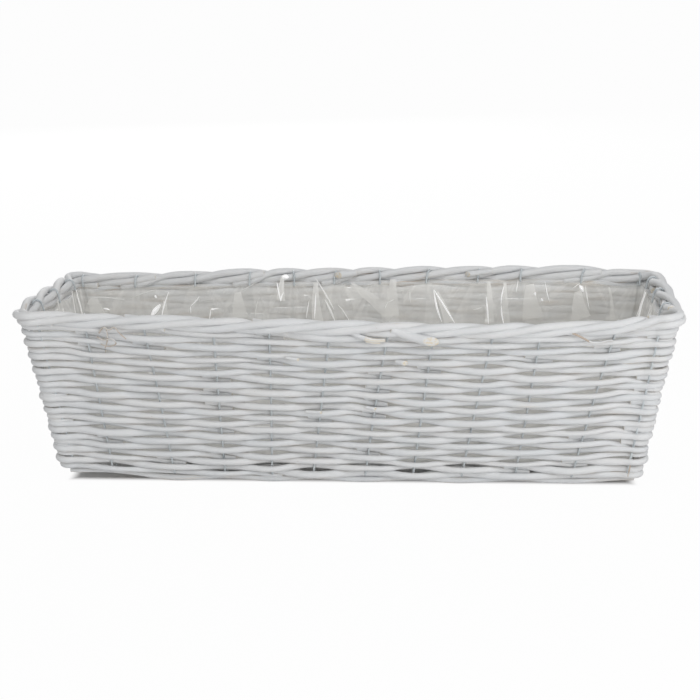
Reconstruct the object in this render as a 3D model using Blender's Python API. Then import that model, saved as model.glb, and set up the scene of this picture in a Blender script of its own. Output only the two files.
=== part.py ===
"""A whitewashed willow planting trough: rods woven on wire uprights, with a clear film liner.

The wires stand in the middle surface of the walls, and each wire runs under the base
from one wall to the wall across from it. Every rod passes in front of one wire and
behind the next. Three rods twist together as the rim, and the wires hook over it and
hold the upper edge of the liner.

Lengths are in metres. +X runs along the trough, -Y is its front, +Z is up, and it
rests on z = 0.
"""

import math

import bmesh
import bpy
import numpy as np

COLLECTION_NAME = "woven_planting_trough"

# Numbers of pieces
ROW_COUNT = 23
BASE_ROD_COUNT = 17
RIM_STRAND_COUNT = 3

# Driving sizes
RIM_LENGTH = 0.600
RIM_DEPTH = 0.200
BASE_LENGTH = 0.552
BASE_DEPTH = 0.166
CORNER_RADIUS = 0.008
ROD_RADIUS = 0.00285
WIRE_RADIUS = 0.0008
FILM_THICKNESS = 0.0004
GAP = 0.0003
ROW_GAP = 0.0004
SLOT_GAP = 0.0005
BUTT_GAP = 0.0010
ROD_END_STAND = 0.002
FLAT_LENGTH = 0.006

# Where the twelve cross wires stand, as shares of the straight half length of the wall
FRONT_RIM_SHARES = (-0.99, -0.835, -0.646, -0.418, -0.238, -0.043, 0.142, 0.284, 0.473, 0.620, 0.856, 0.99)
REAR_RIM_SHARES = (-0.99, -0.794, -0.579, -0.384, -0.230, -0.078, 0.078, 0.254, 0.429, 0.579, 0.798, 0.99)
BASE_SHARES = (-0.99, -0.850, -0.624, -0.440, -0.270, -0.122, 0.065, 0.236, 0.409, 0.599, 0.799, 0.99)
# The base rod after which each long wire lies, counted from the front
LONG_WIRE_SLOTS = (3, 8, 13)
# How far a rim strand bulges between two wires, as a share of the rod radius
RIM_BULGE_SHARE = 1.35
# A six-sided section, as wide as it is high: shares of the radius sideways and upwards
SECTION_SHARES = ((1, 0), (0.5, 1), (-0.5, 1), (-1, 0), (-0.5, -1), (0.5, -1))

# Heights and offsets that follow
ROW_PITCH = 2 * ROD_RADIUS + ROW_GAP
WOVEN_HEIGHT = ROW_COUNT * ROW_PITCH
LEAN_SHARE = math.hypot((RIM_LENGTH - BASE_LENGTH) / 2, WOVEN_HEIGHT) / WOVEN_HEIGHT
SIDE_STEP = (ROD_RADIUS + WIRE_RADIUS + GAP) * LEAN_SHARE
WALL_HALF = SIDE_STEP + ROD_RADIUS
RIM_HALF_LENGTH = RIM_LENGTH / 2 - WALL_HALF
RIM_HALF_DEPTH = RIM_DEPTH / 2 - WALL_HALF
BASE_HALF_LENGTH = BASE_LENGTH / 2 - WALL_HALF
BASE_HALF_DEPTH = BASE_DEPTH / 2 - WALL_HALF

BASE_SPACES = BASE_ROD_COUNT - 1
SLOT_HALF_WIDTH = WIRE_RADIUS + SLOT_GAP
BASE_ROD_RADIUS = (BASE_HALF_DEPTH - WIRE_RADIUS - GAP - BASE_SPACES * SLOT_HALF_WIDTH) / BASE_ROD_COUNT
BASE_PITCH = 2 * (BASE_ROD_RADIUS + SLOT_HALF_WIDTH)
BASE_STEP = BASE_ROD_RADIUS + WIRE_RADIUS + GAP
BASE_WIRE_HEIGHT = BASE_STEP + BASE_ROD_RADIUS
LONG_WIRE_HEIGHT = BASE_WIRE_HEIGHT - 2 * WIRE_RADIUS - GAP
BASE_TOP = BASE_WIRE_HEIGHT + BASE_STEP + BASE_ROD_RADIUS

# The lowest row and the outermost base rod trade places at each wire without touching
ROD_TO_BASE_ROD = ROD_RADIUS + BASE_ROD_RADIUS + GAP
TRADE_RISE = (ROD_TO_BASE_ROD * math.hypot(SIDE_STEP, BASE_STEP) - BASE_STEP**2) / SIDE_STEP
FIRST_ROW_HEIGHT = BASE_WIRE_HEIGHT + TRADE_RISE + 2 * GAP
TOP_ROW_HEIGHT = FIRST_ROW_HEIGHT + (ROW_COUNT - 1) * ROW_PITCH

RIM_STEP = ROD_RADIUS + GAP
RIM_BULGE = RIM_BULGE_SHARE * ROD_RADIUS
RIM_LOW_HEIGHT = TOP_ROW_HEIGHT + 2 * ROD_RADIUS + GAP + RIM_BULGE
RIM_HEIGHT = RIM_LOW_HEIGHT + RIM_STEP

LINER_OFFSET = WALL_HALF + GAP
LINER_FLOOR = BASE_TOP + GAP
HOOK_HALF_WIDTH = (LINER_OFFSET + FILM_THICKNESS + GAP + WIRE_RADIUS) / 2
HOOK_RISE = SIDE_STEP + GAP
HOOK_TIP_HEIGHT = RIM_LOW_HEIGHT - ROD_RADIUS

# The order of the uprights round the trough: front, right end, rear, left end
CROSS_COUNT = len(BASE_SHARES)
LONG_COUNT = len(LONG_WIRE_SLOTS)
WALL_COUNTS = (CROSS_COUNT, LONG_COUNT, CROSS_COUNT, LONG_COUNT)
UPRIGHT_COUNT = sum(WALL_COUNTS)
ROW_CORNER_STEPS = 2
RIM_CORNER_STEPS = 3

UP = np.array((0.0, 0.0, 1.0))
ALONG = np.array((1.0, 0.0, 0.0))
ACROSS = np.array((0.0, 1.0, 0.0))

ROD_COLOUR = (0.60, 0.62, 0.63, 1.0)
BASE_ROD_COLOUR = (0.52, 0.53, 0.52, 1.0)
WIRE_COLOUR = (0.40, 0.41, 0.42, 1.0)
FILM_COLOUR = (0.90, 0.93, 0.94, 1.0)


# The surface that the wires stand in


def half_sizes(height):
    """The half length and half depth of the wires' surface at a height."""
    share = (height - BASE_WIRE_HEIGHT) / (RIM_HEIGHT - BASE_WIRE_HEIGHT)
    half_length = BASE_HALF_LENGTH + share * (RIM_HALF_LENGTH - BASE_HALF_LENGTH)
    half_depth = BASE_HALF_DEPTH + share * (RIM_HALF_DEPTH - BASE_HALF_DEPTH)
    return half_length, half_depth


def wall_of(upright):
    """The wall that an upright stands in, and its number within that wall."""
    for wall, count in enumerate(WALL_COUNTS):
        if upright < count:
            return wall, upright
        upright -= count
    raise ValueError("there is no such upright")


def outward(wall):
    """The level direction that a wall faces."""
    turn = (wall - 1) * math.pi / 2
    return np.array((round(math.cos(turn)), round(math.sin(turn)), 0.0))


def base_rod_depth(number):
    """How far behind the middle a base rod lies, counted from the front."""
    return (number - BASE_SPACES / 2) * BASE_PITCH


def upright_point(upright, height):
    """The centre of an upright's wire at a height."""
    wall, number = wall_of(upright)
    half_length, half_depth = half_sizes(height)
    straight_length = half_length - CORNER_RADIUS
    straight_depth = half_depth - CORNER_RADIUS
    share = (height - BASE_WIRE_HEIGHT) / (RIM_HEIGHT - BASE_WIRE_HEIGHT)
    if wall in (0, 2):
        wire = number if wall == 0 else CROSS_COUNT - 1 - number
        rim_shares = FRONT_RIM_SHARES if wall == 0 else REAR_RIM_SHARES
        place = BASE_SHARES[wire] + share * (rim_shares[wire] - BASE_SHARES[wire])
        return np.array((place * straight_length, outward(wall)[1] * half_depth, height))
    wire = number if wall == 1 else LONG_COUNT - 1 - number
    slot = base_rod_depth(LONG_WIRE_SLOTS[wire] + 0.5)
    place = slot / (BASE_HALF_DEPTH - CORNER_RADIUS)
    return np.array((outward(wall)[0] * half_length, place * straight_depth, height))


def corner_points(wall, height, steps, inset=0.0):
    """Points round the corner after a wall, and the directions they face."""
    half_length, half_depth = half_sizes(height)
    middle = outward(wall) + outward((wall + 1) % len(WALL_COUNTS))
    centre = middle * (half_length - CORNER_RADIUS, half_depth - CORNER_RADIUS, 0.0)
    turn = math.pi / 2 / steps
    radius = (CORNER_RADIUS - inset) / math.cos(turn / 2)
    points, facings = [], []
    for step in range(steps):
        angle = (wall - 1) * math.pi / 2 + (step + 0.5) * turn
        facing = np.array((math.cos(angle), math.sin(angle), 0.0))
        points.append(centre + radius * facing + height * UP)
        facings.append(facing)
    return points, facings


def bay_line(bay, height, steps):
    """The wires' surface from one upright to the next: points, facings and shares of the way."""
    following = (bay + 1) % UPRIGHT_COUNT
    wall, next_wall = wall_of(bay)[0], wall_of(following)[0]
    points, facings = [upright_point(bay, height)], [outward(wall)]
    if wall != next_wall:
        arc_points, arc_facings = corner_points(wall, height, steps)
        points += arc_points
        facings += arc_facings
    points.append(upright_point(following, height))
    facings.append(outward(next_wall))
    points, facings = np.array(points), np.array(facings)
    lengths = np.linalg.norm(np.diff(points, axis=0), axis=1)
    travelled = np.concatenate(((0.0,), np.cumsum(lengths)))
    return points, facings, travelled / travelled[-1], travelled[-1]


def surface_point(bay, share, height, offset, steps):
    """A point some way along a bay, moved outwards from the wires' surface by the offset."""
    points, facings, shares, _ = bay_line(bay, height, steps)
    point = np.array([np.interp(share, shares, points[:, axis]) for axis in range(3)])
    facing = np.array([np.interp(share, shares, facings[:, axis]) for axis in range(3)])
    return point + offset * facing / np.linalg.norm(facing)


def ring_path(start_bay, steps, place):
    """A path once round the trough, from the middle of one bay back to it.

    place(bay, share) gives the offset from the wires' surface and the height. Beside
    the uprights and the corners, the path has a point at each share in place.extra.
    """
    path = []
    for turn in range(UPRIGHT_COUNT + 1):
        bay = (start_bay + turn) % UPRIGHT_COUNT
        _, _, shares, length = bay_line(bay, place(bay, 0.5)[1], steps)
        shares = sorted({*shares[:-1], *place.extra})
        if turn == 0:
            start = 0.5 + BUTT_GAP / 2 / length
            shares = [start] + [share for share in shares if share > start]
        if turn == UPRIGHT_COUNT:
            end = 0.5 - BUTT_GAP / 2 / length
            shares = [share for share in shares if share < end] + [end]
        for share in shares:
            offset, height = place(bay, share)
            path.append(surface_point(bay, share, height, offset, steps))
    return path


# Solids


def tube(path, radius, flats_face):
    """The points and faces of a six-sided rod along a path, with flats facing one direction."""
    path = np.array(path)
    steps = np.diff(path, axis=0)
    steps /= np.linalg.norm(steps, axis=1)[:, None]
    along = np.vstack((steps[:1], steps[:-1] + steps[1:], steps[-1:]))
    along /= np.linalg.norm(along, axis=1)[:, None]
    rise = flats_face - (along @ flats_face)[:, None] * along
    rise /= np.linalg.norm(rise, axis=1)[:, None]
    side = np.cross(along, rise)
    rings = [path + radius * (over * side + up * rise) for over, up in SECTION_SHARES]
    points = np.stack(rings, axis=1).reshape(-1, 3)
    sides = len(SECTION_SHARES)
    faces = [tuple(range(sides)), tuple(range(len(points) - sides, len(points)))]
    for ring in range(len(path) - 1):
        first = ring * sides
        for corner in range(sides):
            other = (corner + 1) % sides
            faces.append((first + corner, first + other, first + sides + other, first + sides + corner))
    return points, faces


def add_piece(collection, name, shape, finish):
    """Makes one named object from points and faces, with a material of its own."""
    points, faces = shape
    mesh = bpy.data.meshes.new(name)
    mesh.from_pydata([tuple(map(float, point)) for point in points], [], faces)
    solid = bmesh.new()
    solid.from_mesh(mesh)
    bmesh.ops.recalc_face_normals(solid, faces=solid.faces)
    solid.to_mesh(mesh)
    solid.free()
    mesh.materials.append(new_material(name, *finish))
    collection.objects.link(bpy.data.objects.new(name, mesh))


def new_material(name, colour, roughness, metallic, alpha):
    """A plain finish for one piece."""
    material = bpy.data.materials.new(name + "_finish")
    material.use_nodes = True
    shader = material.node_tree.nodes["Principled BSDF"]
    shader.inputs["Base Color"].default_value = colour
    shader.inputs["Roughness"].default_value = roughness
    shader.inputs["Metallic"].default_value = metallic
    shader.inputs["Alpha"].default_value = alpha
    return material


ROD_FINISH = (ROD_COLOUR, 0.7, 0.0, 1.0)
BASE_ROD_FINISH = (BASE_ROD_COLOUR, 0.75, 0.0, 1.0)
WIRE_FINISH = (WIRE_COLOUR, 0.4, 1.0, 1.0)
FILM_FINISH = (FILM_COLOUR, 0.15, 0.0, 0.3)


# The woven walls


class RowPlace:
    """Where a row's rod lies: in front of one wire and behind the next."""

    extra = ()

    def __init__(self, row):
        self.row = row
        self.height = FIRST_ROW_HEIGHT + row * ROW_PITCH

    def side(self, upright):
        return -1 if (upright + self.row) % 2 == 0 else 1

    def __call__(self, bay, share):
        start, end = self.side(bay), self.side((bay + 1) % UPRIGHT_COUNT)
        return SIDE_STEP * (start + share * (end - start)), self.height


def rear_bay(number):
    """A bay of the rear wall, taken in turn so that the joints of the rods are spread."""
    return CROSS_COUNT + LONG_COUNT + (number * 4) % (CROSS_COUNT - 1)


def add_rows(collection):
    """The rods of the four walls, each once round the trough, with its ends meeting at the rear."""
    for row in range(ROW_COUNT):
        path = ring_path(rear_bay(row), ROW_CORNER_STEPS, RowPlace(row))
        add_piece(collection, f"weaver_row_{row + 1:02d}", tube(path, ROD_RADIUS, UP), ROD_FINISH)


class RimPlace:
    """Where a rim strand lies: low in front of a wire, high in front of the next, then behind one."""

    extra = (0.5,)
    at_wires = ((SIDE_STEP, 0.0), (SIDE_STEP, 2 * RIM_STEP), (-SIDE_STEP, RIM_STEP))
    between = ((SIDE_STEP, RIM_STEP), (0.0, 2 * RIM_STEP + RIM_BULGE), (0.0, -RIM_BULGE))

    def __init__(self, strand):
        self.strand = strand

    def __call__(self, bay, share):
        start = (bay + self.strand) % RIM_STRAND_COUNT
        end = (start + 1) % RIM_STRAND_COUNT
        stops = np.array((self.at_wires[start], self.between[start], self.at_wires[end]))
        offset = np.interp(share, (0.0, 0.5, 1.0), stops[:, 0])
        rise = np.interp(share, (0.0, 0.5, 1.0), stops[:, 1])
        return offset, RIM_LOW_HEIGHT + rise


def add_rim(collection):
    """Three rods twisted round the wires along the top."""
    for strand in range(RIM_STRAND_COUNT):
        path = ring_path(rear_bay(strand), RIM_CORNER_STEPS, RimPlace(strand))
        add_piece(collection, f"rim_strand_{strand + 1}", tube(path, ROD_RADIUS, UP), ROD_FINISH)


# The wires


def wire_leg(upright, base_height):
    """One leg of a wire, from the tip of its hook inside the rim down to the base."""
    half_turn = math.tan(math.pi / 8)
    stops = [(-2 * HOOK_HALF_WIDTH, HOOK_TIP_HEIGHT)]
    stops.append((-2 * HOOK_HALF_WIDTH, RIM_HEIGHT + half_turn * HOOK_RISE))
    stops.append((-HOOK_HALF_WIDTH * (1 + half_turn), RIM_HEIGHT + HOOK_RISE))
    stops.append((-HOOK_HALF_WIDTH * (1 - half_turn), RIM_HEIGHT + HOOK_RISE))
    stops.append((0.0, RIM_HEIGHT + half_turn * HOOK_RISE))
    stops.append((0.0, base_height + BASE_STEP * (1 - half_turn)))
    stops.append((-BASE_STEP * (1 - half_turn), base_height))
    facing = outward(wall_of(upright)[0])
    return [upright_point(upright, height) + offset * facing for offset, height in stops]


def add_wires(collection):
    """The wires that run up one wall, under the base and up the wall across from it."""
    for number in range(CROSS_COUNT):
        rear = 2 * CROSS_COUNT + LONG_COUNT - 1 - number
        path = wire_leg(number, BASE_WIRE_HEIGHT) + wire_leg(rear, BASE_WIRE_HEIGHT)[::-1]
        add_piece(collection, f"cross_wire_{number + 1:02d}", tube(path, WIRE_RADIUS, ALONG), WIRE_FINISH)
    for number in range(LONG_COUNT):
        left = UPRIGHT_COUNT - 1 - number
        path = wire_leg(left, LONG_WIRE_HEIGHT) + wire_leg(CROSS_COUNT + number, LONG_WIRE_HEIGHT)[::-1]
        add_piece(collection, f"long_wire_{number + 1}", tube(path, WIRE_RADIUS, ACROSS), WIRE_FINISH)


# The base


def base_rod_path(number):
    """A base rod over one cross wire and under the next, level where it rests on the ground."""
    straight = BASE_HALF_LENGTH - CORNER_RADIUS
    depth = base_rod_depth(number)
    places = [share * straight for share in BASE_SHARES]
    end = places[-1] + WIRE_RADIUS + ROD_END_STAND
    path = []
    for wire, place in enumerate(places):
        over = (wire + number) % 2 == 1
        height = BASE_WIRE_HEIGHT + (BASE_STEP if over else -BASE_STEP)
        if wire == 0:
            path.append((-end, depth, height))
        spread = 0.0 if over else FLAT_LENGTH / 2
        path += [(x, depth, height) for x in sorted({place - spread, place + spread}) if abs(x) < end]
        if wire == CROSS_COUNT - 1:
            path.append((end, depth, height))
    return path


def add_base(collection):
    """The rods of the base, which lie along it."""
    for number in range(BASE_ROD_COUNT):
        shape = tube(base_rod_path(number), BASE_ROD_RADIUS, UP)
        add_piece(collection, f"base_rod_{number + 1:02d}", shape, BASE_ROD_FINISH)


# The liner


def liner_ring(height, inset):
    """Points round the trough inside the wires' surface."""
    points = []
    for wall in range(len(WALL_COUNTS)):
        points += corner_points(wall, height, RIM_CORNER_STEPS, inset)[0]
    return points


def add_liner(collection):
    """A film bag, open at the top, between the rods and the hooks."""
    inner = LINER_OFFSET + FILM_THICKNESS
    floor = LINER_FLOOR + FILM_THICKNESS
    rings = [liner_ring(LINER_FLOOR, LINER_OFFSET), liner_ring(RIM_HEIGHT, LINER_OFFSET)]
    rings += [liner_ring(RIM_HEIGHT, inner), liner_ring(floor, inner)]
    count = len(rings[0])
    faces = [tuple(range(count)), tuple(range(3 * count, 4 * count))]
    for ring in range(len(rings) - 1):
        for step in range(count):
            first, other = ring * count + step, ring * count + (step + 1) % count
            faces.append((first, other, other + count, first + count))
    add_piece(collection, "film_liner", (np.concatenate(rings), faces), FILM_FINISH)


def main():
    for leftover in list(bpy.data.objects):
        bpy.data.objects.remove(leftover)
    collection = bpy.data.collections.new(COLLECTION_NAME)
    bpy.context.scene.collection.children.link(collection)
    add_rows(collection)
    add_rim(collection)
    add_wires(collection)
    add_base(collection)
    add_liner(collection)


main()
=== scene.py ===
"""A whitewashed willow planting trough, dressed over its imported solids.

Willow rods are woven on wire uprights, three more rods are twisted along the rim, the
wires hook over them, and a clear film liner stands inside. Lengths are in metres. The
trough runs along X, its front faces -Y, and it stands on z = 0.
"""

import logging
import math
from dataclasses import dataclass
from enum import Enum
from typing import Any, ClassVar

import bpy
import numpy as np
from mathutils import Euler, Matrix, Vector


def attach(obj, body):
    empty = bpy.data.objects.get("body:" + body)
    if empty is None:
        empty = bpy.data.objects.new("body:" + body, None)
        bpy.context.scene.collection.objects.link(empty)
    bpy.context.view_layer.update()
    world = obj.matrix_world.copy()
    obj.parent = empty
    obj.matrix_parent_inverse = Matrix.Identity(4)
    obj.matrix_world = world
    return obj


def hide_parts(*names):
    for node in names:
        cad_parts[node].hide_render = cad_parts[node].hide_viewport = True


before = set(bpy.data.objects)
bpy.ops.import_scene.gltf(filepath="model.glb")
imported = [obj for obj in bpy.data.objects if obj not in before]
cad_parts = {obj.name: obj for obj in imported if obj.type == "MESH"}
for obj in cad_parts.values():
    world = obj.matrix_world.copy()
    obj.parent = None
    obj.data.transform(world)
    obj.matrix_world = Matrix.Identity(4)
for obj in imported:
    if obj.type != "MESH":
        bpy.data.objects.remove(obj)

Array = np.ndarray
Pair = tuple[float, float]
Triple = tuple[float, float, float]
Colour = tuple[float, float, float, float]
LOG = logging.getLogger("planting_trough")
WHITE: Colour = (1.0, 1.0, 1.0, 1.0)


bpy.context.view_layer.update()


# Smooth curves and slow random changes

WAVE_COUNT = 4
WAVE_STRETCHES: Pair = (0.75, 1.3)
WAVE_TOTAL = 1.5
BELL_REACH = 3


def wander(at: Array, wavelength: float, seed: int) -> Array:
    """A slow random change: a sum of four sine waves of falling strength.

    Args:
        at: where it is wanted, in the wavelength's unit.
        wavelength: the length of its longest wave.
        seed: picks one such change.

    Returns:
        Values of about -1 to 1.
    """
    rng = np.random.default_rng(seed)
    phases = rng.uniform(0, 2 * math.pi, WAVE_COUNT)
    stretches = rng.uniform(*WAVE_STRETCHES, WAVE_COUNT)
    waves = [
        np.sin(2 * math.pi * at * stretch * (order + 1) / wavelength + phase) / (order + 1)
        for order, (phase, stretch) in enumerate(zip(phases, stretches))
    ]
    return sum(waves) / WAVE_TOTAL


def halved(wave: Array) -> Array:
    """A wave of -1 to 1, moved to between 0 and 1."""
    return 0.5 + 0.5 * wave


def loop_curve(stops: Array, at: Array) -> Array:
    """A closed smooth curve through evenly spaced stops.

    Between two stops, the value is the cubic whose slopes at both are half the
    difference of the stops on either side.

    Args:
        stops: the values at 0, 1, 2 and so on, and round to the first again.
        at: places along the curve, counted in stops.

    Returns:
        The curve's value at each place.
    """
    count = len(stops)
    first = np.floor(at).astype(int)
    t = at - first
    before, start, end, after = (stops[(first + step) % count] for step in (-1, 0, 1, 2))
    slope, next_slope = (end - before) / 2, (after - start) / 2
    rise = end - start
    square = 3 * rise - 2 * slope - next_slope
    cube = slope + next_slope - 2 * rise
    return start + t * (slope + t * (square + t * cube))


def bump(distance: Array, width: float) -> Array:
    """A round hump: e to the power of minus the squared share of the width.

    Args:
        distance: how far from the hump's middle.
        width: where the hump has fallen to about a third.

    Returns:
        1 at the middle, falling to 0.
    """
    return np.exp(-((distance / width) ** 2))


def smooth(share: Array) -> Array:
    """An even step from 0 to 1: three times the share squared, less twice its cube."""
    return share * share * (3 - 2 * share)


def eased(path: Array, spread: float) -> Array:
    """Smooths a line: each point becomes a bell-shaped average of those around it.

    Args:
        path: the line's points. Past its ends, it is carried on turned over.
        spread: the bell's width, in points.

    Returns:
        As many points.
    """
    reach = int(BELL_REACH * spread)
    bell = bump(np.arange(-reach, reach + 1), spread)
    bell = bell / bell.sum()
    before = 2 * path[0] - path[reach:0:-1]
    after = 2 * path[-1] - path[-2:-reach - 2:-1]
    whole = np.concatenate((before, path, after))
    return np.stack([np.convolve(whole[:, axis], bell, mode="valid") for axis in range(3)], axis=1)


def lengths_along(path: Array) -> Array:
    """How far along a line each of its points is."""
    return np.concatenate(((0.0,), np.cumsum(np.linalg.norm(np.diff(path, axis=0), axis=1))))


def ring_quads(rings: int, sides: int) -> Array:
    """The four-sided faces between closed rings of points.

    Args:
        rings: how many rings there are.
        sides: how many points each of them has.

    Returns:
        The corners of each face, of which the second lies on the next ring.
    """
    ring = np.arange(rings - 1)[:, None] * sides
    ahead = ring + sides
    corner = np.arange(sides)
    following = (corner + 1) % sides
    quads = np.stack((ring + corner, ahead + corner, ahead + following, ring + following), axis=2)
    return quads.reshape(-1, 4)


# The trough's form


@dataclass(frozen=True)
class TroughForm:
    """The trough's sizes, the same as the solids', and the surface that its wires stand in.

    The wires' places, as shares of a wall's straight half length, were worked out from
    positions read from the photograph. The rim's rise and bow at each wire were set by
    comparing outlines with it.
    """

    rim_length: float = 0.600
    rim_depth: float = 0.200
    base_length: float = 0.552
    base_depth: float = 0.166
    corner_radius: float = 0.008
    rod_radius: float = 0.00285
    wire_radius: float = 0.0008
    gap: float = 0.0003
    row_gap: float = 0.0004
    slot_gap: float = 0.0005
    row_count: int = 23
    base_rod_count: int = 17
    rim_bulge_share: float = 1.35
    front_rim_shares: tuple[float, ...] = (
        -0.99, -0.835, -0.646, -0.418, -0.238, -0.043, 0.142, 0.284, 0.473, 0.620, 0.856, 0.99
    )
    rear_rim_shares: tuple[float, ...] = (
        -0.99, -0.794, -0.579, -0.384, -0.230, -0.078, 0.078, 0.254, 0.429, 0.579, 0.798, 0.99
    )
    base_shares: tuple[float, ...] = (
        -0.99, -0.850, -0.624, -0.440, -0.270, -0.122, 0.065, 0.236, 0.409, 0.599, 0.799, 0.99
    )
    long_wire_slots: tuple[int, ...] = (3, 8, 13)
    corner_bulge: float = 0.0035
    corner_bulge_width: float = 0.016
    rim_rise: tuple[float, ...] = (
        0.0042, 0.0022, 0.0007, -0.0013, -0.0023, -0.0033, -0.0048, -0.0058, -0.0063, -0.0058,
        -0.0028, 0.0022, 0.0044, 0.0054, 0.0044, 0.0022, 0.0062, 0.0062, 0.0057, 0.0057,
        0.0047, 0.0042, 0.0037, 0.0032, 0.0012, -0.0003, -0.0003, 0.0014, 0.0044, 0.0064,
    )
    rim_bow: tuple[float, ...] = (
        0.002, 0.0015, 0.0025, 0.004, 0.005, 0.0055, 0.0055, 0.0055, 0.005, 0.004,
        0.002, 0.002, 0.003, 0.003, 0.003, 0.002, *[0.0] * 11, 0.001, 0.002, 0.004,
    )
    settle_limit: float = 1.1
    off_corner: float = 1.0
    base_shift: float = 0.0012
    base_lifts: Pair = (0.0065, 0.0012)
    lift_starts: Pair = (0.15, 0.20)
    lift_reaches: Pair = (0.12, 0.07)
    wire_waves: tuple[float, float, float, float] = (0.0, 0.0014, 0.0022, 0.0014)
    corner_wave: float = 0.0026

    @property
    def pitch(self) -> float:
        """The height of one row."""
        return 2 * self.rod_radius + self.row_gap

    @property
    def lean(self) -> float:
        """How much longer a level cut across a leaning wall is than a square one."""
        woven = self.row_count * self.pitch
        return math.hypot((self.rim_length - self.base_length) / 2, woven) / woven

    @property
    def side_step(self) -> float:
        """How far a rod's centre passes from a wire's centre."""
        return (self.rod_radius + self.wire_radius + self.gap) * self.lean

    @property
    def wall_half(self) -> float:
        """Half the thickness of a woven wall."""
        return self.side_step + self.rod_radius

    @property
    def slot_half(self) -> float:
        """Half the space between two base rods."""
        return self.wire_radius + self.slot_gap

    @property
    def base_rod_radius(self) -> float:
        """The radius of a base rod."""
        half_depth = self.base_depth / 2 - self.wall_half
        spaces = self.base_rod_count - 1
        return (half_depth - self.wire_radius - self.gap - spaces * self.slot_half) / self.base_rod_count

    @property
    def base_step(self) -> float:
        """How far a base rod's centre passes from a cross wire's centre."""
        return self.base_rod_radius + self.wire_radius + self.gap

    @property
    def base_wire_height(self) -> float:
        """The height of the cross wires under the base."""
        return self.base_step + self.base_rod_radius

    @property
    def long_wire_height(self) -> float:
        """The height of the long wires under the base."""
        return self.base_wire_height - 2 * self.wire_radius - self.gap

    @property
    def base_top(self) -> float:
        """The height of the base rods' tops."""
        return self.base_wire_height + self.base_step + self.base_rod_radius

    @property
    def first_row_height(self) -> float:
        """The height of the lowest row, which trades places with the outermost base rod."""
        apart = self.rod_radius + self.base_rod_radius + self.gap
        reach = apart * math.hypot(self.side_step, self.base_step) - self.base_step**2
        return self.base_wire_height + reach / self.side_step + 2 * self.gap

    @property
    def top_row_height(self) -> float:
        """The height of the highest row below the rim."""
        return self.first_row_height + (self.row_count - 1) * self.pitch

    @property
    def rim_step(self) -> float:
        """Half the distance between the two rim strands in front of a wire."""
        return self.rod_radius + self.gap

    @property
    def rim_bulge(self) -> float:
        """How far a rim strand bulges up or down between two wires."""
        return self.rim_bulge_share * self.rod_radius

    @property
    def rim_low_height(self) -> float:
        """The height of the lower rim strand in front of a wire."""
        return self.top_row_height + 2 * self.rod_radius + self.gap + self.rim_bulge

    @property
    def rim_height(self) -> float:
        """The height of the rim strand behind a wire."""
        return self.rim_low_height + self.rim_step

    @property
    def wall_counts(self) -> tuple[int, int, int, int]:
        """The wires in the front, right, rear and left wall."""
        cross, long = len(self.base_shares), len(self.long_wire_slots)
        return cross, long, cross, long

    @property
    def upright_count(self) -> int:
        """The wires all round the trough."""
        return sum(self.wall_counts)

    def height_share(self, height: Array) -> Array:
        """How far up the wires each height is: 0 at the base and 1 at the rim."""
        return (height - self.base_wire_height) / (self.rim_height - self.base_wire_height)

    def half_sizes(self, height: Array) -> tuple[Array, Array]:
        """The wires' surface at some heights.

        Args:
            height: heights above the ground.

        Returns:
            Its half length and its half depth.
        """
        share = self.height_share(height)
        half_length = (self.base_length + share * (self.rim_length - self.base_length)) / 2
        half_depth = (self.base_depth + share * (self.rim_depth - self.base_depth)) / 2
        return half_length - self.wall_half, half_depth - self.wall_half

    def base_rod_depth(self, number: float) -> float:
        """How far behind the middle a base rod lies, counted from the front."""
        return (number - (self.base_rod_count - 1) / 2) * 2 * (self.base_rod_radius + self.slot_half)

    def wire_tables(self) -> tuple[Array, Array, Array]:
        """Where the wires stand along their walls, in the order in which a rod passes them.

        Returns:
            The wall of each wire, and its place in the base and in the rim, as shares
            of the wall's straight half length.
        """
        walls, base, rim = [], [], []
        straight_depth = self.base_depth / 2 - self.wall_half - self.corner_radius
        slots = [self.base_rod_depth(slot + 0.5) / straight_depth for slot in self.long_wire_slots]
        base_rows = (self.base_shares, slots, [-s for s in self.base_shares[::-1]], [-s for s in slots[::-1]])
        rim_rows = (self.front_rim_shares, slots, [-s for s in self.rear_rim_shares[::-1]], base_rows[3])
        for wall, (base_row, rim_row) in enumerate(zip(base_rows, rim_rows)):
            walls += [wall] * len(base_row)
            base += list(base_row)
            rim += list(rim_row)
        return np.array(walls), np.array(base), np.array(rim)

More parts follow.
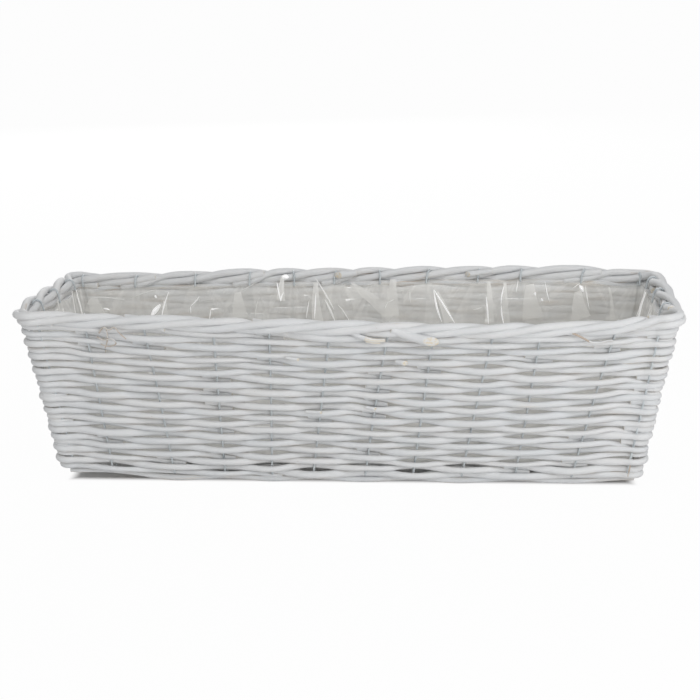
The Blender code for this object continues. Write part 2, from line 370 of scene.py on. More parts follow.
    def even_surface(self, way: Array, height: Array) -> tuple[Array, Array, Array, Array]:
        """The surface as it was woven: a rounded rectangle at each height.

        A bay within one wall is a straight line from wire to wire, and a bay round a
        corner is a line, a quarter circle and a line, with the way shared out by length.

        Args:
            way: how far round the trough, in bays from the first front wire.
            height: the height of each point.

        Returns:
            Points inside the surface by the corners' radius, the level directions out of
            the trough, what lies past a corner, and distances from a corner's middle.
        """
        walls, base, rim = self.wire_tables()
        bay = np.minimum(np.floor(way).astype(int), self.upright_count - 1)
        following = (bay + 1) % self.upright_count
        half_length, half_depth = self.half_sizes(height)
        share = self.height_share(height)
        wall, next_wall = walls[bay], walls[following]
        along_x, next_along_x = wall % 2 == 0, next_wall % 2 == 0
        straight = np.where(along_x, half_length, half_depth) - self.corner_radius
        next_straight = np.where(next_along_x, half_length, half_depth) - self.corner_radius
        start = (base[bay] + share * (rim[bay] - base[bay])) * straight
        end = (base[following] + share * (rim[following] - base[following])) * next_straight
        turn = (wall - 1) * math.pi / 2
        out = np.stack((np.cos(turn), np.sin(turn), np.zeros_like(turn)), axis=1)
        along = np.stack((-np.sin(turn), np.cos(turn), np.zeros_like(turn)), axis=1)
        reach = np.where(along_x, half_depth, half_length)
        corner = wall != next_wall
        before, arc = straight - start, self.corner_radius * math.pi / 2
        after = next_straight + end
        length = np.where(corner, before + arc + after, end - start)
        travelled = (way - bay) * length
        angle = np.clip((travelled - before) / self.corner_radius, 0, math.pi / 2) * corner
        place = start + np.where(corner, np.minimum(travelled, before), travelled)
        past = np.where(corner, np.maximum(travelled - before - arc, 0), 0)
        facing = np.cos(angle)[:, None] * out + np.sin(angle)[:, None] * along
        centre = out * (reach - self.corner_radius)[:, None] + along * place[:, None]
        beyond = np.cross((0.0, 0.0, 1.0), facing) * past[:, None]
        from_corner = np.where(corner, travelled - before - arc / 2, self.off_corner)
        return centre, facing, beyond, from_corner

    def surface(self, way: Array, height: Array) -> tuple[Array, Array]:
        """The surface that the wires stand in.

        Stiff rods bulge outwards at the corners, and the rim has bowed and moved with
        use, less and less towards the base, whose own ends are lifted.

        Args:
            way: how far round the trough, in bays from the first front wire.
            height: the height of each point.

        Returns:
            Points, and the level directions out of the trough.
        """
        way = np.mod(np.asarray(way, float), self.upright_count)
        height = np.broadcast_to(np.asarray(height, float), way.shape)
        centre, facing, beyond, from_corner = self.even_surface(way, height)
        bulge = self.corner_bulge * bump(from_corner, self.corner_bulge_width)
        settled = np.clip(height / self.rim_height, 0, self.settle_limit)
        bow = loop_curve(np.array(self.rim_bow), way) * settled**2
        points = centre + facing * (self.corner_radius + bulge + bow)[:, None] + beyond
        rise = loop_curve(np.array(self.rim_rise), way) * settled
        points[:, 2] = height + rise + self.lift(points[:, 0]) * (1 - settled)
        points[:, 0] -= self.base_shift * (1 - settled)
        return points, facing

    def lift(self, along: Array) -> Array:
        """How far the bowed base stands off the ground, by place along the trough."""
        total = np.zeros_like(along)
        for side, lift, start, reach in zip((-1, 1), self.base_lifts, self.lift_starts, self.lift_reaches):
            total = total + lift * smooth(np.clip((side * along - start) / reach, 0, 1))
        return total

    def wire_wave(self, way: Array) -> Array:
        """How far a wire gives way to the rods.

        Each wall has its amount, the wires beside a corner have their own, and a smooth
        curve joins them.

        Args:
            way: how far round the trough, in bays.

        Returns:
            The amount at each place.
        """
        stops = np.repeat(np.array(self.wire_waves), self.wall_counts)
        firsts = np.concatenate(((0,), np.cumsum(self.wall_counts)[:-1]))
        stops[firsts] = stops[firsts - 1] = self.corner_wave
        return loop_curve(stops, way)

    def place(self, way: Array, height: Array, offset: Array) -> Array:
        """Points beside the wires' surface.

        Args:
            way: how far round the trough, in bays.
            height: the height of each point.
            offset: how far out of the surface.

        Returns:
            The points.
        """
        points, facing = self.surface(way, height)
        return points + facing * np.broadcast_to(offset, np.shape(way))[:, None]


# The photograph's viewpoint


@dataclass(frozen=True)
class Viewpoint:
    """Where the photograph was taken, and how its pixels lead to places on the walls.

    The lens, the place and the angles were fitted to positions read from the photograph,
    and the pitch was then lowered a little.
    """

    lens_pixels: float = 1576.27
    frame_pixels: float = 700.0
    place: Triple = (0.1073, -1.4709, 0.4983)
    turn: float = 4.257
    pitch: float = 14.760
    roll: float = -0.892
    passes: int = 12
    way_trial: float = 0.02
    height_trial: float = 0.0005
    first_height: float = 0.8

    def axes(self) -> Matrix:
        """The directions to the right, upwards and backwards, as a matrix's columns."""
        level = Euler((math.radians(90 - self.pitch), 0.0, math.radians(self.turn))).to_matrix()
        return level @ Euler((0.0, 0.0, math.radians(self.roll))).to_matrix()

    def pixels(self, points: Array) -> Array:
        """Where points appear: their places across and up, over their distance, times the lens."""
        seen = (points - np.array(self.place)) @ np.array(self.axes())
        return self.frame_pixels / 2 + seen[:, :2] / seen[:, 2:] * np.array((-1, 1)) * self.lens_pixels

    def find(self, form: TroughForm, marks: Array, offset: Array, ways: Pair) -> tuple[Array, Array]:
        """Finds the places beside the wires' surface that appear at some pixels.

        From near the wall's middle, each pass moves the way and the height to where they
        would hit the pixel if the wall were flat there.

        Args:
            form: the trough's form.
            marks: pixels of the photograph, in rows of across and down.
            offset: how far out of the surface each place is.
            ways: the first and the last wire of the wall.

        Returns:
            How far round each place is, in bays, and its height.
        """
        way = np.full(len(marks), (ways[0] + ways[1]) / 2)
        height = np.full(len(marks), form.rim_height * self.first_height)
        for _ in range(self.passes):
            seen = self.pixels(form.place(way, height, offset))
            by_way = (self.pixels(form.place(way + self.way_trial, height, offset)) - seen) / self.way_trial
            higher = self.pixels(form.place(way, height + self.height_trial, offset))
            by_height = (higher - seen) / self.height_trial
            miss = marks - seen
            spread = by_way[:, 0] * by_height[:, 1] - by_way[:, 1] * by_height[:, 0]
            way = way + (miss[:, 0] * by_height[:, 1] - miss[:, 1] * by_height[:, 0]) / spread
            height = height + (by_way[:, 0] * miss[:, 1] - by_way[:, 1] * miss[:, 0]) / spread
            way = np.clip(way, ways[0], ways[1])
        return way, height


# Skins of rods and wires


@dataclass
class Skin:
    """Part of a mesh: points, faces and what the materials read at each point."""

    points: Array
    quads: Array
    caps: list[list[int]]
    grain: Array
    coat: Array


@dataclass
class Rod:
    """A rod or wire: a round section carried along a path.

    A point of the skin is the path's point, plus the radius times the cosine of an
    angle along the side direction, plus the radius times its sine along the rise. Each
    cut end has rings of its own, at shares of the radius outwards and across.
    """

    path: Array
    radius: Array
    upwards: Triple = (0.0, 0.0, 1.0)
    sides: int = 12
    lumps: float = 0.0
    seed: int = 0
    tone: float = 0.5
    cover: float = 0.5
    # Cover is higher outside and lower on the inner side: partly thinner paint, partly painted shade.
    cover_and_shade_turn: float = 0.12
    slant: float = 0.0
    bare: bool = False
    # Cover drops where rows meet above and below, and on the underside: partly bark, partly painted shade.
    seam_bark_and_shade: ClassVar[float] = 0.08
    seam_bark_and_shade_power: ClassVar[int] = 6
    under: ClassVar[float] = 0.34
    tips: ClassVar[tuple[Pair, ...]] = ((0.14, 0.9), (0.2, 0.45))
    round_swell: ClassVar[Pair] = (0.6, 0.05)
    oval_swell: ClassVar[Pair] = (0.4, 0.03)
    scar_start: ClassVar[Pair] = (0.01, 0.04)
    scar_step: ClassVar[float] = 0.047
    scar_shift: ClassVar[float] = 0.01
    scar_width: ClassVar[float] = 0.0028
    scar_height: ClassVar[float] = 2.6
    grain_steps: ClassVar[Pair] = (0.37, 0.0131)

    def frame_along(self, path: Array) -> tuple[Array, Array, Array]:
        """The directions along, beside and above a path at each of its points.

        Args:
            path: the path's points.

        Returns:
            Unit directions along the path, to its side, and upwards.
        """
        along = np.gradient(path, axis=0)
        along /= np.linalg.norm(along, axis=1)[:, None]
        rise = np.array(self.upwards) - (along @ np.array(self.upwards))[:, None] * along
        rise /= np.linalg.norm(rise, axis=1)[:, None]
        return along, np.cross(along, rise), rise

    def lumpiness(self, lengths: Array, angles: Array) -> Array:
        """Unevenness of the bark: slow waves, and a bud scar every few centimetres.

        Args:
            lengths: how far along the rod each ring is.
            angles: the angles round it.

        Returns:
            A share of the radius at each ring and angle.
        """
        strength, wavelength = self.round_swell
        waves = strength * wander(lengths, wavelength, self.seed)[:, None]
        strength, wavelength = self.oval_swell
        waves = waves + strength * wander(lengths, wavelength, self.seed + 1)[:, None] * np.cos(2 * angles)
        rng = np.random.default_rng(self.seed)
        scars = np.arange(rng.uniform(*self.scar_start), lengths[-1], self.scar_step)
        scars = scars + rng.uniform(-self.scar_shift, self.scar_shift, len(scars))
        turns = rng.uniform(-math.pi, math.pi, len(scars))
        for scar, turn in zip(scars, turns):
            hump = bump(lengths - scar, self.scar_width)[:, None] * halved(np.cos(angles - turn)) ** 2
            waves = waves + self.scar_height * hump
        return self.lumps * waves

    def with_tips(self, values: Array) -> Array:
        """Adds the rings of the cut ends: the first and the last value are repeated for them."""
        extra = len(self.tips)
        return np.concatenate((values[:1].repeat(extra, 0), values, values[-1:].repeat(extra, 0)))

    def rings(self, along: Array) -> tuple[Array, Array]:
        """Every ring, with those of the cut ends.

        Args:
            along: the direction along the path at each of its points.

        Returns:
            The rings' middles and radii.
        """
        radius = np.broadcast_to(self.radius, len(self.path))
        outwards, across = np.array(self.tips).T
        start = self.path[0] - along[0] * radius[0] * outwards[::-1, None]
        end = self.path[-1] + along[-1] * radius[-1] * outwards[:, None]
        radii = np.concatenate((radius[0] * across[::-1], radius, radius[-1] * across))
        return np.concatenate((start, self.path, end)), radii

    def attributes(self, lengths: Array, radii: Array, angles: Array) -> tuple[Array, Array]:
        """What the materials read at each point of the skin.

        Args:
            lengths: how far along the rod each ring is.
            radii: the rings' radii.
            angles: the angles round it.

        Returns:
            Places in the grain, and the coat: how well the paint covers, lowered on the
            inner side, at the seams and on the underside partly as painted shade, whether
            the wood is cut or bare, and the rod's tone.
        """
        lengthways, sideways = self.grain_steps
        grain = np.stack(np.broadcast_arrays(
            lengths[:, None] + self.seed * lengthways,
            radii[:, None] * np.cos(angles) + self.seed * sideways,
            radii[:, None] * np.sin(angles),
        ), axis=2)
        # Less cover, so browner and darker, inside, at the seams and underneath: partly bark, partly painted
        # shade.
        turned_share = self.cover_and_shade_turn * np.cos(angles) - self.seam_bark_and_shade * np.sin(angles) ** self.seam_bark_and_shade_power
        turned_share = turned_share - self.under * np.clip(-np.sin(angles), 0, 1) ** 2
        extra = len(self.tips)
        cut = np.full((len(lengths), len(angles)), float(self.bare))
        cut[:extra] = cut[-extra:] = 1.0
        cover = np.broadcast_to(np.clip(self.cover + turned_share, 0, 1), cut.shape)
        coat = np.stack((cover, cut, np.full_like(cut, self.tone)), axis=2)
        return grain.reshape(-1, 3), coat.reshape(-1, 3)

    def skin(self) -> Skin:
        """The rod's surface, with both ends closed.

        Returns:
            The skin, with the rings of its cut ends.
        """
        along, side, rise = self.frame_along(self.path)
        path, radii = self.rings(along)
        lengths = lengths_along(path)
        angles = np.linspace(0, 2 * math.pi, self.sides, endpoint=False)
        swell = 1 + (self.lumpiness(lengths, angles) if self.lumps else 0.0)
        reach = (radii[:, None] * swell)[:, :, None]
        side, rise = self.with_tips(side)[:, None, :], self.with_tips(rise)[:, None, :]
        points = path[:, None, :] + reach * (np.cos(angles)[:, None] * side + np.sin(angles)[:, None] * rise)
        last_whole = -len(self.tips) - 1
        sideways = radii[last_whole:, None] * np.cos(angles)
        push = abs(self.slant) * radii[last_whole] - self.slant * sideways
        points[last_whole:] += push[:, :, None] * along[-1]
        last = (len(path) - 1) * self.sides
        caps = [list(range(self.sides)), list(range(last + self.sides - 1, last - 1, -1))]
        quads = ring_quads(len(path), self.sides)
        return Skin(points.reshape(-1, 3), quads, caps, *self.attributes(lengths, radii, angles))


def join_skins(skins: list[Skin]) -> Skin:
    """One skin from several, which stay apart.

    Args:
        skins: the skins to put together.

    Returns:
        A skin that holds them all.
    """
    firsts = np.concatenate(((0,), np.cumsum([len(skin.points) for skin in skins])))
    caps = [
        [int(first) + corner for corner in cap]
        for skin, first in zip(skins, firsts)
        for cap in skin.caps
    ]
    return Skin(
        np.concatenate([skin.points for skin in skins]),
        np.concatenate([skin.quads + first for skin, first in zip(skins, firsts)]),
        caps,
        np.concatenate([skin.grain for skin in skins]),
        np.concatenate([skin.coat for skin in skins]),
    )


def make_piece(name: str, skin: Skin, material: bpy.types.Material) -> bpy.types.Object:
    """Makes an object at the origin from a skin.

    Args:
        name: the piece's name.
        skin: its points, faces and attributes.
        material: its finish.

    Returns:
        The new object, smooth shaded, on the trough's body.
    """
    mesh = bpy.data.meshes.new(name)
    loops = np.concatenate([skin.quads.ravel(), *[np.array(cap) for cap in skin.caps]]).astype(np.int32)
    sizes = np.array([4] * len(skin.quads) + [len(cap) for cap in skin.caps], np.int32)
    mesh.vertices.add(len(skin.points))
    mesh.vertices.foreach_set("co", skin.points.astype(np.float32).ravel())
    mesh.loops.add(len(loops))
    mesh.loops.foreach_set("vertex_index", loops)
    mesh.polygons.add(len(sizes))
    mesh.polygons.foreach_set("loop_start", np.concatenate(((0,), np.cumsum(sizes)[:-1])).astype(np.int32))
    mesh.polygons.foreach_set("use_smooth", np.ones(len(sizes), bool))
    mesh.update(calc_edges=True)
    for label, values in (("grain", skin.grain), ("coat", skin.coat)):
        layer = mesh.attributes.new(label, "FLOAT_VECTOR", "POINT")
        layer.data.foreach_set("vector", values.astype(np.float32).ravel())
    mesh.materials.append(material)
    piece = bpy.data.objects.new(name, mesh)
    bpy.context.scene.collection.objects.link(piece)
    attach(piece, "root")
    LOG.info("%s: %d faces", name, len(sizes))
    return piece


# Materials


class Signal:
    """A number socket that can be used in a Python expression."""

    def __init__(self, recipe: "Recipe", socket: bpy.types.NodeSocket) -> None:
        """Keeps the socket and the material that it belongs to."""
        self.recipe = recipe
        self.socket = socket

    def maths(self, operation: str, *values: Any, clamp: bool = False) -> "Signal":
        """Adds a Math node.

        Args:
            operation: the node's operation.
            values: its inputs, numbers or signals.
            clamp: whether the result is held between 0 and 1.

        Returns:
            The node's result.
        """
        settings = {"operation": operation, "use_clamp": clamp}
        return self.recipe.node("ShaderNodeMath", settings, dict(enumerate(values)))

    def __add__(self, other: Any) -> "Signal":
        """This plus another."""
        return self.maths("ADD", self, other)

    __radd__ = __add__

    def __sub__(self, other: Any) -> "Signal":
        """This less another."""
        return self.maths("SUBTRACT", self, other)

    def __rsub__(self, other: Any) -> "Signal":
        """Another less this."""
        return self.maths("SUBTRACT", other, self)

    def __mul__(self, other: Any) -> "Signal":
        """This times another."""
        return self.maths("MULTIPLY", self, other)

    def held(self) -> "Signal":
        """This, held between 0 and 1."""
        return self.maths("ADD", self, 0.0, clamp=True)

    def step(self, low: float, high: float) -> "Signal":
        """A smooth step from 0 below the low value to 1 above the high one."""
        settings = {"interpolation_type": "SMOOTHSTEP"}
        inputs = {0: self, 1: low, 2: high, 3: 0.0, 4: 1.0}
        return self.recipe.node("ShaderNodeMapRange", settings, inputs)


class Recipe:
    """A material that is put together node by node."""

    def __init__(self, name: str) -> None:
        """Starts an empty material."""
        self.material = bpy.data.materials.new(name)
        self.material.use_nodes = True
        self.tree = self.material.node_tree
        self.tree.nodes.clear()

    def node(self, kind: str, settings: dict[str, Any], inputs: dict[Any, Any], output: Any = 0) -> Signal:
        """Adds a node.

        Args:
            kind: the node's type.
            settings: its properties, which are set first.
            inputs: values or signals for its sockets, by name or number.
            output: the socket that is wanted.

        Returns:
            That output.
        """
        node = self.tree.nodes.new(kind)
        for key, value in settings.items():
            setattr(node, key, value)
        for key, value in inputs.items():
            if isinstance(value, Signal):
                self.tree.links.new(value.socket, node.inputs[key])
            else:
                node.inputs[key].default_value = value
        return Signal(self, node.outputs[output])

    def attribute(self, name: str) -> Signal:
        """Reads one of the piece's own attributes."""
        return self.node("ShaderNodeAttribute", {"attribute_name": name}, {}, "Vector")

    def split(self, vector: Signal) -> tuple[Signal, Signal, Signal]:
        """Takes a vector apart."""
        first = self.node("ShaderNodeSeparateXYZ", {}, {0: vector})
        sockets = first.socket.node.outputs
        return first, Signal(self, sockets[1]), Signal(self, sockets[2])

    def noise(self, where: Signal, scale: Triple, detail: float) -> Signal:
        """Cloudy noise.

        Args:
            where: the coordinates that it reads.
            scale: how many clouds go into a metre, along each of them.
            detail: how many finer layers it has.

        Returns:
            Values of about 0.2 to 0.8.
        """
        scaled = self.node("ShaderNodeMapping", {}, {"Vector": where, "Scale": scale})
        return self.node("ShaderNodeTexNoise", {}, {"Vector": scaled, "Scale": 1.0, "Detail": detail})

    def weigh(self, signals: dict[str, Signal], weights: dict[str, float]) -> Signal:
        """A sum of signals, each times its weight.

        Args:
            signals: the signals, by name.
            weights: the weights of those that count.

        Returns:
            The sum.
        """
        terms = [signals[name] * weight for name, weight in weights.items()]
        total = terms[0]
        for term in terms[1:]:
            total = total + term
        return total

    def mix(self, share: Any, first: Any, second: Any) -> Signal:
        """A colour between two others."""
        return self.node("ShaderNodeMix", {"data_type": "RGBA"}, {0: share, 6: first, 7: second}, 2)

    def relief(self, height: Signal, strength: float, distance: float) -> Signal:
        """Bumps the surface by a height."""
        inputs = {"Height": height, "Strength": strength, "Distance": distance}
        return self.node("ShaderNodeBump", {}, inputs)

    def surface(self, inputs: dict[str, Any]) -> Signal:
        """The main shader."""
        return self.node("ShaderNodeBsdfPrincipled", {}, inputs)

    def close(self, shader: Signal) -> bpy.types.Material:
        """Ends the recipe with its shader."""
        output = self.tree.nodes.new("ShaderNodeOutputMaterial")
        self.tree.links.new(shader.socket, output.inputs["Surface"])
        return self.material


Noise = tuple[Triple, float]
Weights = dict[str, float]


@dataclass(frozen=True)
class Willow:
    """Whitewashed willow: thin chalky paint over brown bark, with more bark where cover is low.

    Low cover on undersides, seams and inner sides is partly painted shade. Spans are
    where a smooth step starts and ends. Weights say how much each noise, the rod's tone
    and the lack of cover count.
    """

    name: str
    paint: Colour = (0.71, 0.73, 0.75, 1.0)
    chalk: Colour = (0.78, 0.78, 0.78, 1.0)
    bark: Colour = (0.64, 0.58, 0.49, 1.0)
    bare_bark: Colour = (0.40, 0.27, 0.17, 1.0)
    pith: Colour = (0.74, 0.66, 0.52, 1.0)
    wear: float = 0.0
    streaks: Noise = ((28.0, 520.0, 520.0), 4.0)
    clouds: Noise = ((22.0, 60.0, 60.0), 3.0)
    specks: Noise = ((420.0, 700.0, 700.0), 2.0)
    chalk_start: float = 0.55
    thin_span: Pair = (0.98, 1.5)
    thin_share: float = 0.62
    bare_span: Pair = (1.42, 1.62)
    bare_share: float = 0.55
    scar_spans: tuple[Pair, Pair] = ((0.70, 0.78), (0.5, 0.66))
    scar_share: float = 0.35
    ring_span: Pair = (0.35, 0.65)
    roughness: float = 0.58
    streak_roughness: float = 0.25
    relief: Pair = (0.5, 0.0006)
    specular: float = 0.35
    chalk_weights: ClassVar[Weights] = {"streaks": 0.8, "clouds": 0.9, "tone": 0.55}
    thin_weights: ClassVar[Weights] = {"streaks": 0.9, "clouds": 0.8, "uncovered_and_shaded": 0.75, "tone": -0.12}
    bare_weights: ClassVar[Weights] = {"streaks": 0.8, "clouds": 1.1, "uncovered_and_shaded": 0.8}
    height_weights: ClassVar[Weights] = {"streaks": 0.6, "specks": 0.25, "clouds": 0.4}

    def build(self) -> bpy.types.Material:
        """Builds the material.

        Returns:
            It reads the attributes grain and coat.
        """
        recipe = Recipe(self.name)
        grain = recipe.attribute("grain")
        cover, cut, tone = recipe.split(recipe.attribute("coat"))
        streaks = recipe.noise(grain, *self.streaks)
        clouds = recipe.noise(grain, *self.clouds)
        specks = recipe.noise(grain, *self.specks)
        # Low cover mixes in bark: partly thin paint, partly painted shade on undersides, seams and inner
        # sides.
        seen = {"streaks": streaks, "clouds": clouds, "specks": specks, "uncovered_and_shaded": 1 - cover, "tone": tone}
        chalky = (recipe.weigh(seen, self.chalk_weights) - self.chalk_start).held()
        painted = recipe.mix(chalky, self.paint, self.chalk)
        thin = (recipe.weigh(seen, self.thin_weights) + self.wear).step(*self.thin_span)
        stained_and_shaded = recipe.mix(thin * self.thin_share, painted, self.bark)
        bare = recipe.weigh(seen, self.bare_weights).step(*self.bare_span)
        scars = specks.step(*self.scar_spans[0]) * clouds.step(*self.scar_spans[1])
        marks = (bare * self.bare_share + scars * self.scar_share).held()
        marked = recipe.mix(marks, stained_and_shaded, self.bare_bark)
        rings = recipe.mix(streaks.step(*self.ring_span), self.pith, self.chalk)
        shader = recipe.surface({
            "Base Color": recipe.mix(cut, marked, rings),
            "Roughness": self.roughness + streaks * self.streak_roughness,
            "Normal": recipe.relief(recipe.weigh(seen, self.height_weights), *self.relief),
            "Specular IOR Level": self.specular,
        })
        return recipe.close(shader)


@dataclass(frozen=True)
class Wire:
    """Galvanised wire with thin paint on it, which makes it rougher and less metallic."""

    name: str = "galvanised_wire"
    zinc: Colour = (0.42, 0.46, 0.49, 1.0)
    paint: Colour = (0.62, 0.66, 0.68, 1.0)
    patches: Noise = ((160.0, 400.0, 400.0), 3.0)
    paint_span: Pair = (0.28, 0.46)
    roughness: float = 0.38
    paint_roughness: float = 0.3
    metallic: float = 0.55
    paint_metallic: float = 0.5
    relief: Pair = (0.4, 0.0003)

    def build(self) -> bpy.types.Material:
        """Builds the material, which reads the attribute grain."""
        recipe = Recipe(self.name)
        patches = recipe.noise(recipe.attribute("grain"), *self.patches)
        painted = patches.step(*self.paint_span)
        shader = recipe.surface({
            "Base Color": recipe.mix(painted, self.zinc, self.paint),
            "Roughness": self.roughness + painted * self.paint_roughness,
            "Metallic": self.metallic - painted * self.paint_metallic,
            "Normal": recipe.relief(patches, *self.relief),
        })
        return recipe.close(shader)


@dataclass(frozen=True)
class Film:
    """Clear plastic film, hazy where it is creased.

    It glows a little, a painted stand-in for the light that comes through it, and its
    creases are whiter and its sharpest glow most, as painted glints.
    """

    name: str = "clear_film"
    haze: Colour = (0.93, 0.92, 0.89, 1.0)
    # Painted glow: through is the colour the film glows with, standing in for light coming through it.
    through: Colour = (0.22, 0.22, 0.21, 1.0)
    painted_glow_strength: float = 0.25
    clouds: Noise = ((18.0, 30.0, 30.0), 4.0)
    wrinkles: Noise = ((50.0, 180.0, 180.0), 4.0)
    edge_blend: float = 0.25
    even_haze: float = 0.44
    cloud_span: Pair = (0.4, 0.75)
    cloud_haze: float = 0.2
    patch_haze: float = 0.1
    edge_haze: float = 0.06
    # Creases make the film hazier and whiter, partly creased film, partly painted highlight; glints start at
    # glint_span.
    crease_haze_and_glint: float = 0.7
    glint_span: Pair = (0.3, 1.0)
    roughness: float = 0.34
    crease_smoothness: float = 0.24
    relief: Pair = (0.25, 0.0015)
    specular: float = 0.9

    def build(self) -> bpy.types.Material:
        """Builds the material, which reads the attributes grain and coat."""
        recipe = Recipe(self.name)
        grain = recipe.attribute("grain")
        crease, patch, fade = recipe.split(recipe.attribute("coat"))
        clouds = recipe.noise(grain, *self.clouds).step(*self.cloud_span)
        edge = recipe.node("ShaderNodeLayerWeight", {}, {"Blend": self.edge_blend}, "Facing")
        haze = self.even_haze + clouds * self.cloud_haze + patch * self.patch_haze + edge * self.edge_haze
        amount = (haze * fade + crease * self.crease_haze_and_glint).held()
        wrinkles = recipe.noise(grain, *self.wrinkles)
        shader = recipe.surface({
            # Whiter at the creases: partly creased film, partly painted highlight.
            "Base Color": recipe.mix(crease, self.haze, WHITE),
            "Roughness": (self.roughness - crease * self.crease_smoothness).held(),
            # Painted glow: faint everywhere as light through the film, and white painted glints on sharp
            # creases.
            "Emission Color": recipe.mix(crease.step(*self.glint_span), self.through, WHITE),
            "Emission Strength": self.painted_glow_strength,
            "Normal": recipe.relief(wrinkles, *self.relief),
            "Specular IOR Level": self.specular,
        })
        clear = recipe.node("ShaderNodeBsdfTransparent", {}, {})
        mixed = recipe.node("ShaderNodeMixShader", {}, {0: amount, 1: clear, 2: shader})
        return recipe.close(mixed)


@dataclass(frozen=True)
class Floor:
    """A pale studio floor, which looks white all round the trough, with a painted shadow under it."""

    name: str = "studio_floor"
    white: Colour = (0.85, 0.85, 0.85, 1.0)
    glow: float = 0.97
    # Painted shadow: under a blurred rectangle this size the glow is taken off.
    painted_shadow_size: Pair = (0.270, 0.075)
    painted_shadow_blur: float = 0.012

    def build(self) -> bpy.types.Material:
        """Builds the material, which glows only where the camera sees it, straight or through film."""
        recipe = Recipe(self.name)
        seen = recipe.node("ShaderNodeLightPath", {}, {}, "Is Camera Ray")
        through = Signal(recipe, seen.socket.node.outputs["Is Transmission Ray"])
        where = recipe.node("ShaderNodeTexCoord", {}, {}, "Object")
        across = recipe.split(where)[:2]
        # Painted shadow: no glow inside the rectangle under the trough, only the floor's real shading.
        beyond = [place.maths("ABSOLUTE", place) - half for place, half in zip(across, self.painted_shadow_size)]
        outside_painted_shadow = beyond[0].maths("MAXIMUM", *beyond).step(-self.painted_shadow_blur, 0.0)
        share = (seen + through).held() * outside_painted_shadow * self.glow
        matt = recipe.node("ShaderNodeBsdfDiffuse", {}, {"Color": self.white})
        glowing = recipe.node("ShaderNodeEmission", {}, {"Color": WHITE})
        return recipe.close(recipe.node("ShaderNodeMixShader", {}, {0: share, 1: matt, 2: glowing}))


# The walls


@dataclass
class Splice:
    """One rod of a row or strand: where it starts and ends, and how thick it is."""

    start: int
    end: int
    butt: float
    tip: float
    tone: float
    seed: int

    def radius(self, way: Array) -> Array:
        """The rod's radius, falling evenly from butt to tip."""
        share = np.clip((way - self.start) / (self.end - self.start), 0, 1)
        return self.butt + (self.tip - self.butt) * share


